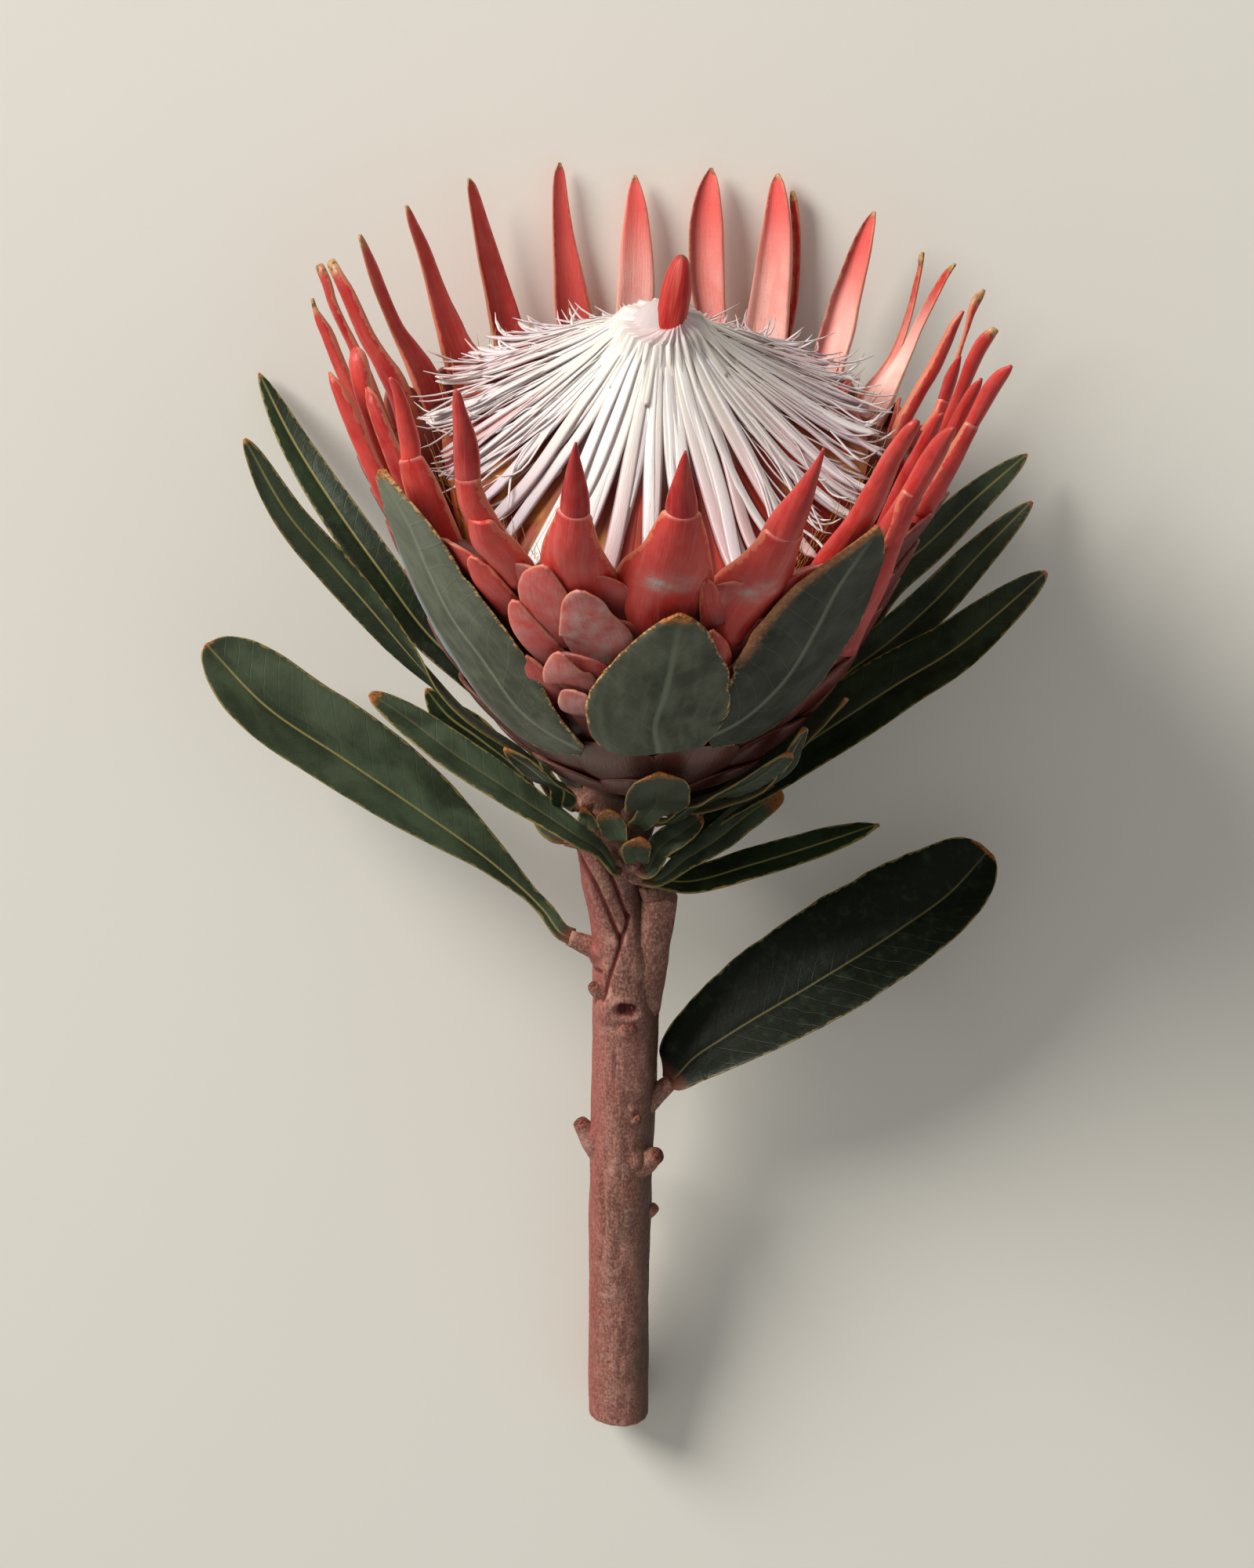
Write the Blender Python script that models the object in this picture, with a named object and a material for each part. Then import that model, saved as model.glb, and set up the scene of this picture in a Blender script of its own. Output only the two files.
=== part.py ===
"""A cut king protea: one bloom on its woody stem, with its leaves, lying on its back."""

import math
import random

import bmesh
import bpy
import numpy as np
from mathutils import Matrix, Vector

# Every length is in millimetres until a mesh is made, and every angle is in degrees.
MM = 0.001
SEED = 399

# The head's axis climbs from the surface and leans a little to the right.
HEAD_RISE = math.radians(12.9)
HEAD_LEAN = math.radians(2.1)
HEAD_BASE = np.array([3.0, 0.0, 42.2])
AXIS = np.array([
    math.sin(HEAD_LEAN),
    math.cos(HEAD_LEAN) * math.cos(HEAD_RISE),
    math.cos(HEAD_LEAN) * math.sin(HEAD_RISE),
])
FRONT = np.array([0.0, -math.sin(HEAD_RISE), math.cos(HEAD_RISE)])
RIGHT = np.cross(AXIS, FRONT)

# Leaves are drawn as they look from the front: x to the right, y up the drawing, and the
# depth towards the eye. The eye looks down this far from straight above the head's base.
DRAWN_TILT = math.radians(14.6)
EYE_DISTANCE = 1200.0

# The bowl of scales: its outer radius at heights above the head's base.
BOWL = ((0, 8.5), (9, 23.5), (29, 40.5), (51, 51), (69, 58), (87, 67), (110, 72))
SCALE_RAISE = 2.4
CUP_BOTTOM = 1.0
CUP_RIM = 72.0
CUP_SIDES = 20

# The ring of tall pointed bracts, by azimuth from the front, right-hand side positive.
TALL_BRACTS = (
    -13, 4, 25, 43, 51, 65, 79, 92, 107, 118, 126, 141, 153, 161,
    172, -175, -163, -147, -133, -119, -106, -94, -81, -68, -55, -40,
)
TALL_ROOT = 63.0
TALL_TIP = 110.0
TALL_JOINT = 94.5
JOINTED_WITHIN = 60.0

# Rows of short scales, from the rim down: height of the tips, first azimuth, count.
SCALE_ROWS = (
    (76.5, -12, 24), (65, -28, 21), (53.5, -19, 18), (42, -10, 15), (30, -12, 12), (18, 0, 9),
)
SCALE_LENGTH = 18.5
SCALE_HIDDEN = 6.0

# The dome of florets, which ends lower at the front than at the back.
DOME_APEX = 107.0
DOME_START = 4.0
STRANDS = 60
STRAND_CLEAR = 0.5
COLLAR_EDGE = 11.0
CORE_SIDES = 28
CORE_SEAT = ((29.0, 45.3), (37.0, 50.0))
DOME_STATIONS = (10.0, 23.0, 37.0)

# Green bracts that lie over the scales: azimuths and heights of the midrib, widths from base
# to tip, and how far they stand off the scales.
BRACT_THICK = 1.2
BRACT_RADIUS = 50.0
GREEN_BRACTS = {
    "green_bract_left": (
        ((-19, 27), (-35, 35), (-42, 46), (-49, 56), (-52, 67), (-51, 79), (-53, 90)),
        (5, 21, 24, 28, 26, 16, 2), 0.4,
    ),
    "green_bract_front": (
        ((3, 30), (1.5, 38), (3, 47), (4, 57), (4.5, 65), (4.5, 69.5)),
        (24, 29, 26, 19, 10, 3), 2.0,
    ),
    "green_bract_right": (
        ((16, 33), (25, 38), (32, 46), (36, 59), (38, 73), (40, 86)),
        (8, 23, 29, 27, 19, 2), 0.4,
    ),
    "green_bract_side_right": (
        ((126, 18), (129, 30), (131, 42), (132, 54), (133, 64)), (8, 20, 23, 17, 2), 0.4,
    ),
    "green_bract_side_left": (
        ((-122, 18), (-121, 30), (-119, 42), (-118, 56), (-117, 68)), (8, 22, 26, 18, 2), 0.4,
    ),
    "green_bract_back": (
        ((176, 14), (176, 22), (177, 30), (178, 38)), (8, 20, 22, 4), 0.4,
    ),
}

# Leaf blades.
LEAF_THICK = 1.1
LEAF_EDGE = 0.75
SEAT = 1.8
SEAT_GAP = 0.35
STALK_RUN = 2.5
DOWN_STEM = -AXIS

# The stem: its middle right of and in front of the axis, height along the axis, radius.
STEM_SIDES = 12
STEM = (
    (0.9, -0.5, -159.5, 6.7), (0.4, -0.2, -145, 6.6), (0, 0, -130, 6.6), (-0.8, 0, -100, 6.9),
    (-0.9, 0, -75, 7.1), (-1.3, 0, -56, 7.3), (-1.9, 0, -41, 7.0), (-3.8, 0, -32, 6.0),
    (-5.4, 0, -24.6, 6.3), (-5.8, 0, -16, 7.4), (-4.6, 0, -7, 8.6), (-3.2, 0, -1.2, 9.1),
    (-3.2, 0, 0.6, 9.1),
)
SHOOT = ((0.5, 0, -54, 5.8), (2.6, 0.5, -40, 5.6), (4.2, 0.8, -32, 4.5), (4.9, 1, -26, 3.9))
SHOOT_TOP = HEAD_BASE + AXIS * -29.0 + RIGHT * 4.7 + FRONT * 0.9

# Scars and stubs of old leaves: azimuth, height, rise, reach out of the bark, radius.
STEM_SCARS = (
    (-82, -88, 6, 2.6, 2.6), (52, -93, 3.5, 3.0, 2.8), (5, -57, 1.5, 0.9, 2.2),
    (-60, -50, 2, 1.0, 2.0), (22, -80, 1.5, 1.6, 1.3), (88, -107, 1.5, 1.0, 1.8),
    (150, -70, 3, 2.0, 2.4), (-150, -100, 3, 2.0, 2.4), (178, -52, 2, 1.2, 2.2),
)


def clear_scene():
    for obj in list(bpy.data.objects):
        bpy.data.objects.remove(obj)


def make_material(name, colour, roughness):
    """A Principled material of one plain colour."""
    material = bpy.data.materials.new(name)
    material.use_nodes = True
    shader = material.node_tree.nodes["Principled BSDF"]
    shader.inputs["Base Color"].default_value = (*colour, 1.0)
    shader.inputs["Roughness"].default_value = roughness
    shader.inputs["Metallic"].default_value = 0.0
    return material


def on_head(azimuth, radius, height):
    """A point round the head's axis: azimuth 0 is the front, and height is along the axis."""
    angle = np.radians(azimuth)
    out = np.multiply.outer(np.cos(angle), FRONT) + np.multiply.outer(np.sin(angle), RIGHT)
    return HEAD_BASE + np.multiply.outer(height, AXIS) + np.asarray(radius)[..., None] * out


def turned(direction):
    """A direction given on the drawing, as a unit vector of the lying flower."""
    x, y, depth = direction
    c, s = math.cos(DRAWN_TILT), math.sin(DRAWN_TILT)
    vector = np.array([x, y * c + depth * s, depth * c - y * s])
    return vector / np.linalg.norm(vector)


def drawn(x, y, depth):
    """The point at this depth that the front drawing shows at x, y from the head's base."""
    near = (EYE_DISTANCE - depth) / EYE_DISTANCE
    c, s = math.cos(DRAWN_TILT), math.sin(DRAWN_TILT)
    up = y * near
    return np.array([x * near, up * c + depth * s, HEAD_BASE[2] - up * s + depth * c])


def smooth(values, places):
    """A smooth curve through the values, read at places from 0 to 1 along its length."""
    values = np.asarray(values, float)
    gaps = np.linalg.norm(np.diff(values, axis=0), axis=1)
    knots = np.concatenate([[0.0], np.cumsum(gaps)]) / gaps.sum()
    slopes = np.gradient(values, knots, axis=0)
    places = np.clip(np.asarray(places, float), 0.0, 1.0)
    low = np.clip(np.searchsorted(knots, places, side="right") - 1, 0, len(knots) - 2)
    span = (knots[low + 1] - knots[low])[:, None]
    t = (places - knots[low])[:, None] / span
    start = (1 + 2 * t) * (1 - t) ** 2 * values[low] + t * (1 - t) ** 2 * span * slopes[low]
    end = t * t * (3 - 2 * t) * values[low + 1] + t * t * (t - 1) * span * slopes[low + 1]
    return start + end


BOWL_CURVE = smooth(BOWL, np.linspace(0, 1, 60))


def bowl_radius(height):
    """The radius that the tips of the scales reach at a height."""
    return np.interp(height, BOWL_CURVE[:, 0], BOWL_CURVE[:, 1])


def cup_radius(height):
    """The radius of the plain cup that the scales and bracts grow from."""
    return bowl_radius(height) - SCALE_RAISE


def lying(x, y, z):
    """A point by its place on the surface and its height over it."""
    return np.array([x, y, z], float)


def surface_radius(azimuth, height):
    """The radius at which a ray out from the axis meets the surface that the flower lies on."""
    angle = np.radians(azimuth)
    drop = -(np.cos(angle) * FRONT[2] + np.sin(angle) * RIGHT[2])
    room = HEAD_BASE[2] + np.asarray(height) * AXIS[2]
    return np.where(drop > 0.05, room / np.maximum(drop, 0.05), 1e6)


def mesh_object(name, points, faces, material):
    """A closed mesh object from points in mm, with its faces turned outwards."""
    mesh = bpy.data.meshes.new(name)
    mesh.from_pydata((np.asarray(points) * MM).tolist(), [], faces)
    mesh.materials.append(material)
    shape = bmesh.new()
    shape.from_mesh(mesh)
    bmesh.ops.recalc_face_normals(shape, faces=shape.faces)
    shape.to_mesh(mesh)
    shape.free()
    mesh.shade_smooth()
    obj = bpy.data.objects.new(name, mesh)
    bpy.context.scene.collection.objects.link(obj)
    return obj


def slab(name, top, under, material):
    """A blade between two grids of points, whose faces are split into triangles alike."""
    rows, cols = top.shape[:2]
    count = rows * cols
    points = np.concatenate([top.reshape(-1, 3), under.reshape(-1, 3)])
    faces = []
    for i in range(rows - 1):
        for j in range(cols - 1):
            a, b = i * cols + j, i * cols + j + 1
            c, d = a + cols, b + cols
            cells = ((a, b, d), (a, d, c)) if j < cols // 2 else ((a, b, c), (b, d, c))
            faces += cells
            faces += [tuple(count + k for k in reversed(cell)) for cell in cells]
    rim = [j for j in range(cols)]
    rim += [i * cols + cols - 1 for i in range(1, rows)]
    rim += [(rows - 1) * cols + j for j in range(cols - 2, -1, -1)]
    rim += [i * cols for i in range(rows - 2, 0, -1)]
    for here, after in zip(rim, rim[1:] + rim[:1]):
        faces += [(here, count + here, count + after), (here, count + after, after)]
    return mesh_object(name, points, faces, material)


def lathe_grid(name, grid, material):
    """A closed skin over a grid of rings, each a closed loop, with its end rings capped."""
    rings, sides = grid.shape[:2]
    points = grid.reshape(-1, 3)
    faces = []
    for i in range(rings - 1):
        for j in range(sides):
            a, b = i * sides + j, i * sides + (j + 1) % sides
            faces += [(a, b, b + sides), (a, b + sides, a + sides)]
    faces.append(tuple(range(sides - 1, -1, -1)))
    faces.append(tuple((rings - 1) * sides + j for j in range(sides)))
    return mesh_object(name, points, faces, material)


def tube(name, route, radii, sides, material):
    """A round bar along the route, thicker or thinner from point to point."""
    route = np.asarray(route, float)
    along = np.gradient(route, axis=0)
    along /= np.linalg.norm(along, axis=1)[:, None]
    side = np.cross(along, FRONT + 0.01 * RIGHT)
    side /= np.linalg.norm(side, axis=1)[:, None]
    other = np.cross(side, along)
    turns = np.arange(sides) * 2 * math.pi / sides
    ring = (
        np.cos(turns)[None, :, None] * side[:, None] + np.sin(turns)[None, :, None] * other[:, None]
    )
    return lathe_grid(name, route[:, None] + np.asarray(radii)[:, None, None] * ring, material)


def join(base, others):
    """One Boolean union of the base with all the others, which are then removed."""
    group = bpy.data.collections.new(base.name + "_pieces")
    bpy.context.scene.collection.children.link(group)
    for obj in others:
        bpy.context.scene.collection.objects.unlink(obj)
        group.objects.link(obj)
    union = base.modifiers.new("union", "BOOLEAN")
    union.operation = "UNION"
    union.operand_type = "COLLECTION"
    union.collection = group
    union.solver = "MANIFOLD"
    graph = bpy.context.evaluated_depsgraph_get()
    joined = bpy.data.meshes.new_from_object(base.evaluated_get(graph))
    base.modifiers.clear()
    base.data = joined
    for obj in others:
        bpy.data.objects.remove(obj)
    bpy.data.collections.remove(group)
    return base


def cup(material):
    """The solid cup under the scales, hollow above for the florets."""
    heights = np.array([CUP_BOTTOM, 6, 15, 29, 44, 58, CUP_RIM])
    outside = [(float(cup_radius(h)), h) for h in heights]
    inside = [(51.5, CUP_RIM), (48.0, 61.0), (42.0, 51.0), (31.0, 45.0)]
    profile = np.array(outside + inside)
    azimuths = np.arange(CUP_SIDES) * 360 / CUP_SIDES
    azimuth, radius = np.meshgrid(azimuths, profile[:, 0])
    height = np.meshgrid(azimuths, profile[:, 1])[1]
    radius = np.minimum(radius, surface_radius(azimuth, height) - 1.0)
    return lathe_grid("bract_head", on_head(azimuth, radius, height), material)


def head_blade(name, azimuth, heights, widths, outer, inner, crown, skew, material):
    """A blade up the bowl: half widths, outer and inner radii, and a raised middle."""
    across = np.array([-1.0, 0.0, 1.0])
    span = np.degrees(widths[:, None] / 2 * across / outer[:, None])
    azimuths = azimuth + span
    raised = outer[:, None] - crown[:, None] * across**2 + skew * across
    pressed = np.minimum(raised, surface_radius(azimuths, heights[:, None]))
    depth = np.maximum(outer - inner, 0.7)[:, None] - 0.6 * crown[:, None] * across**2
    grid_heights = np.repeat(heights[:, None], 3, axis=1)
    top = on_head(azimuths, pressed, grid_heights)
    under = on_head(azimuths, pressed - depth, grid_heights)
    return slab(name, top, under, material)


def tall_bract(azimuth, chance, material):
    """A long bract; towards the front, a cone rises out of the lip of its broad body."""
    front = 0.5 + 0.5 * math.cos(math.radians(azimuth))
    tip = TALL_TIP + chance.uniform(-2.0, 1.5)
    reach = chance.uniform(-1.2, 1.2)
    skew = chance.uniform(0.3, 0.6)
    if abs(azimuth) < JOINTED_WITHIN:
        joint = TALL_JOINT
        heights = np.array([TALL_ROOT, 71, 79, 87, joint, joint + 0.5, 102, tip])
        body = 12.0 + 5.0 * front
        widths = np.array([body - 2, body, 9.9 + 3.5 * front, 9.3, 7.8, 6.7, 5.2, 1.0])
        sunk = np.array([2.8, 0.3, 0, 0, 0, 0.4, 0.3, 0])
        thick = np.array([2.0, 3.3, 2.3, 1.9, 3.0, 2.6, 2.3, 1.2])
        crown = np.array([0.8, 1.0, 0.8, 0.8, 1.2, 1.0, 0.9, 0.2])
    else:
        heights = np.array([TALL_ROOT, 72, 82, 92, 103, tip])
        widths = np.array([11.0, 13.0, 9.6, 7.6, 5.6, 1.0])
        sunk = np.array([2.8, 0.3, 0, 0, 0, 0])
        thick = np.array([2.0, 3.0, 2.2, 2.0, 2.0, 1.2])
        crown = np.array([0.8, 1.0, 0.8, 0.8, 0.8, 0.2])
    outer = bowl_radius(heights) + reach * np.clip((heights - 75) / 35, 0, 1) - sunk
    return head_blade(
        "tall_bract", azimuth, heights, widths, outer, outer - thick, crown, skew, material
    )


def under_bract(azimuth, height):
    """Whether a green bract covers this place on the bowl."""
    for route, widths, lift in GREEN_BRACTS.values():
        way = np.array(route, float)
        places = np.linspace(0, 1, 20)
        middle = smooth(way, places)
        half = np.interp(places, np.linspace(0, 1, len(widths)), widths) / 2
        turn = (middle[:, 0] - azimuth + 180) % 360 - 180
        across = np.radians(turn) * bowl_radius(height)
        if (np.hypot(across, middle[:, 1] - height) < half - SCALE_HIDDEN).any():
            return True
    return False


def short_scale(azimuth, tip, width, chance, material):
    """A rounded scale that lies on the bowl, sunk at its root and raised at its tip."""
    length = min(SCALE_LENGTH, tip - CUP_BOTTOM - 1.5)
    tip = tip + chance.uniform(-1.2, 1.2)
    heights = tip - length * np.array([1.0, 0.4, 0.0])
    widths = width * np.array([0.8, 1.0, 0.42])
    raise_by = SCALE_RAISE * np.array([-0.1, 0.6, 1.0])
    outer = cup_radius(heights) + raise_by
    inner = cup_radius(heights) - 1.2
    crown = np.array([0.4, 0.9, 0.4])
    return head_blade(
        "scale", azimuth, heights, widths, outer, inner, crown, chance.uniform(0.1, 0.4), material
    )


def bract_head(material):
    """The cup with its tall bracts and its rows of scales, grown together."""
    chance = random.Random(SEED)
    pieces = [tall_bract(azimuth, chance, material) for azimuth in TALL_BRACTS]
    for tip, first, count in SCALE_ROWS:
        step = 360 / count
        width = 1.06 * math.radians(step) * float(bowl_radius(tip - 6))
        for k in range(count):
            azimuth = first + k * step + chance.uniform(-1.5, 1.5)
            if not under_bract(azimuth, tip - 4):
                pieces.append(short_scale(azimuth, tip, width, chance, material))
    return join(cup(material), pieces)


def dome_end(azimuth):
    """The radius and height at which the dome ends, at an azimuth."""
    turn = np.radians(azimuth)
    return 48 - 2 * np.cos(turn), 79 - 12 * np.cos(turn) - 3 * np.cos(2 * turn)


def dome_height(radius, azimuth):
    """The height of the strands' underside: a tent, hollow towards the apex."""
    end_radius, end_height = dome_end(azimuth)
    along = np.clip((radius - DOME_START) / (end_radius - DOME_START), 0, 1)
    return end_height + (DOME_APEX - end_height) * (1 - along) ** 1.3


def finger_route():
    """The middle of the red finger, from inside the dome to its tip."""
    places = ((1.6, 3.4, 98.0), (2.3, 2.8, 108.0), (3.4, 1.9, 115.0), (4.3, 1.1, 119.0))
    return [HEAD_BASE + AXIS * height + RIGHT * x + FRONT * y for x, y, height in places]


def floret_core(material):
    """The dark red dome under the strands, with the blunt finger at its apex."""
    azimuths = np.arange(CORE_SIDES) * 360 / CORE_SIDES
    end_radius = dome_end(azimuths)[0] - 4
    rings = [(np.full(CORE_SIDES, radius), np.full(CORE_SIDES, height)) for radius, height in CORE_SEAT]
    lower = dome_height(end_radius, azimuths) - 3
    rings.append((end_radius - 2.5, (lower + 50) / 2))
    rings.append((end_radius, lower))
    for station in reversed(DOME_STATIONS):
        radius = np.full(CORE_SIDES, station)
        rings.append((radius, dome_height(radius, azimuths) - STRAND_CLEAR))
    rings.append((np.full(CORE_SIDES, 6.0), dome_height(6.0, azimuths) - 3 * STRAND_CLEAR))
    rings.append((np.full(CORE_SIDES, 2.0), np.full(CORE_SIDES, DOME_APEX - 3.4)))
    grid = np.array([on_head(azimuths, radius, height) for radius, height in rings])
    core = lathe_grid("floret_core", grid, material)
    radii = (2.5, 2.6, 2.7, 2.0)
    route = finger_route()
    route.append(route[-1] + (route[-1] - route[-2]) * 0.45)
    finger = tube("finger", route, radii + (0.9,), 10, material)
    return join(core, [finger])


def collar(material):
    """The white cap round the finger, which the strands hang from."""
    sides = CORE_SIDES
    azimuths = np.arange(sides) * 360 / sides
    base, above = finger_route()[:2]
    hole = []
    for height in (106.2, 109.3):
        middle = base + (above - base) * ((height - 98.0) / 10.0)
        hole.append((middle, height))
    rings = []
    for radius, raised in ((COLLAR_EDGE - 1, 0.15), (COLLAR_EDGE, 0.7), (COLLAR_EDGE - 2, 1.25)):
        rings.append(on_head(azimuths, np.full(sides, radius), dome_height(radius, azimuths) + raised))
    rings.append(on_head(azimuths, np.full(sides, 7.5), dome_height(7.5, azimuths) + 1.6))
    turn = np.radians(azimuths)
    out = np.cos(turn)[:, None] * FRONT + np.sin(turn)[:, None] * RIGHT
    top_middle, low_middle = hole[1][0], hole[0][0]
    rings.append(top_middle + out * 4.6)
    rings.append(top_middle + out * 3.2)
    rings.append(low_middle + out * 3.2)
    rings.append(on_head(azimuths, np.full(sides, 8.0), dome_height(8.0, azimuths) + 0.15))
    return ring_solid("floret_strands", np.array(rings), material)


def ring_solid(name, grid, material):
    """A closed skin over a grid whose rings follow each other round and meet again."""
    rings, sides = grid.shape[:2]
    faces = []
    for i in range(rings):
        for j in range(sides):
            a, b = i * sides + j, i * sides + (j + 1) % sides
            c, d = (a + sides) % (rings * sides), (b + sides) % (rings * sides)
            faces += [(a, b, d), (a, d, c)]
    return mesh_object(name, grid.reshape(-1, 3), faces, material)


def strand(azimuth, chance, material):
    """A ribbon of three sides that runs from the collar down the dome to a free tip."""
    end_radius, end_height = dome_end(azimuth)
    back = 0.5 - 0.5 * math.cos(math.radians(azimuth))
    end_radius += chance.uniform(-1.5, 1.5)
    radii = np.array(DOME_STATIONS + (end_radius,))
    heights = dome_height(radii, azimuth)
    heights[-2] += 1.0 * back
    heights[-1] += chance.uniform(0.5, 2.5) + 2.5 * back
    widths = np.array([0.8, 1.8, 2.3, 0.9])
    half = np.degrees(widths / 2 / radii)
    bend = np.linspace(0, chance.uniform(-1.0, 1.0), len(radii))
    left = on_head(azimuth + bend - half, radii, heights)
    right = on_head(azimuth + bend + half, radii, heights)
    ridge = on_head(azimuth + bend, radii, heights + 0.9)
    return lathe_grid("strand", np.stack([left, right, ridge], axis=1), material)


def floret_strands(material):
    """The white ribbons of the florets, joined at the collar."""
    chance = random.Random(SEED + 1)
    step = 360 / STRANDS
    ribbons = [strand(k * step + chance.uniform(-0.5, 0.5), chance, material) for k in range(STRANDS)]
    return join(collar(material), ribbons)


def leaf_shape(along, belly, tip_round):
    """The share of its full width that a leaf has along its length, widest at the belly."""
    slope = tip_round * belly / (1 - belly)
    peak = belly**slope * (1 - belly) ** tip_round
    return along**slope * (1 - along) ** tip_round / peak


def leaf(name, base, route, width, facing, material, belly=0.55, tip_round=0.6,
         folds=(12.0, 12.0), wave=0.0, waves=2.0, stalk=3.2, segments=8, across=3, shift=0.0):
    """A leathery leaf: a smooth midrib, and a blade folded up along it on both sides.

    The facing is the direction of its upper face at the base and at the tip.
    The left half is the one on the left on the way to the tip. The shift makes it the wider.
    """
    route = [base] + list(route)
    places = np.linspace(0, 1, segments + 1)
    places[1] = STALK_RUN / np.linalg.norm(np.diff(route, axis=0), axis=1).sum()
    middle = smooth(route, places)
    along = np.gradient(middle, axis=0)
    along /= np.linalg.norm(along, axis=1)[:, None]
    up = facing[0] + (facing[1] - facing[0]) * places[:, None]
    left = np.cross(up, along)
    left /= np.linalg.norm(left, axis=1)[:, None]
    up = np.cross(along, left)
    shape = leaf_shape(np.clip(places, 0.0, 0.985), belly, tip_round)
    half = np.maximum(width / 2 * shape, stalk / 2 * (1 - places) + 0.35)
    sides = np.linspace(-1, 1, across)
    fold = np.radians(np.where(sides > 0, folds[0], folds[1]))
    reach = np.abs(sides)
    share = np.where(sides > 0, 1 + shift, 1 - shift)
    out = half[:, None] * sides * share * np.cos(fold)
    rise = half[:, None] * reach ** 1.4 * share * np.sin(fold)
    rise = rise + wave * shape[:, None] * reach**2 * np.sin(
        2 * math.pi * (waves * places[:, None] + 0.25 * np.sign(sides))
    )
    thick = LEAF_THICK + (LEAF_EDGE - LEAF_THICK) * reach
    surface = middle[:, None] + out[..., None] * left[:, None] + rise[..., None] * up[:, None]
    top = surface + 0.5 * thick[None, :, None] * up[:, None]
    under = surface - 0.5 * thick[None, :, None] * up[:, None]
    top[..., 2] = np.maximum(top[..., 2], 1.2)
    under[..., 2] = np.maximum(under[..., 2], 0.4)
    return slab(name, top, under, material)


def bowl_bract(name, route, widths, lift, material, segments=7):
    """A green bract that lies over the scales: its midrib as azimuths and heights on the bowl."""
    places = np.linspace(0, 1, segments + 1)
    middle = smooth(route, places)
    half = np.interp(places, np.linspace(0, 1, len(widths)), widths) / 2
    per_degree = math.radians(BRACT_RADIUS)
    plane = middle * (per_degree, 1.0)
    along = np.gradient(plane, axis=0)
    along /= np.linalg.norm(along, axis=1)[:, None]
    normal = np.stack([along[:, 1], -along[:, 0]], axis=1)
    sides = np.linspace(-1, 1, 5)
    flat = plane[:, None] + half[:, None, None] * sides[None, :, None] * normal[:, None]
    azimuths = flat[..., 0] / per_degree
    heights = np.maximum(flat[..., 1], CUP_BOTTOM + 2)
    wave = 0.4 * sides**2 * (1 + np.sin(9 * places[:, None] + 2 * sides))
    inner = bowl_radius(heights) + lift + wave
    inner = np.minimum(inner, surface_radius(azimuths, heights) - BRACT_THICK - 0.6)
    outer = inner + BRACT_THICK - 0.3 * sides**2
    return slab(name, on_head(azimuths, outer, heights), on_head(azimuths, inner, heights), material)


def stem_middle(height):
    """The stem's middle and radius at a height along the axis, which is below the head's base."""
    heights = [row[2] for row in STEM]
    x, y, radius = (np.interp(height, heights, [row[k] for row in STEM]) for k in (0, 1, 3))
    return HEAD_BASE + AXIS * height + RIGHT * x + FRONT * y, float(radius)


def on_stem(azimuth, height, clear):
    """A point this far out from the stem's surface."""
    middle, radius = stem_middle(height)
    return middle + (radius + clear) * outward(azimuth)


def outward(azimuth):
    angle = math.radians(azimuth)
    return math.cos(angle) * FRONT + math.sin(angle) * RIGHT


def by_bowl(azimuth, height, clear):
    """A point this far out from the tips of the scales."""
    return on_head(np.array(azimuth), bowl_radius(height) + clear, np.array(height))


def toward(start, end, length):
    """The point this far from the start on the way to the end."""
    way = end - start
    return start + way * (length / np.linalg.norm(way))


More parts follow.
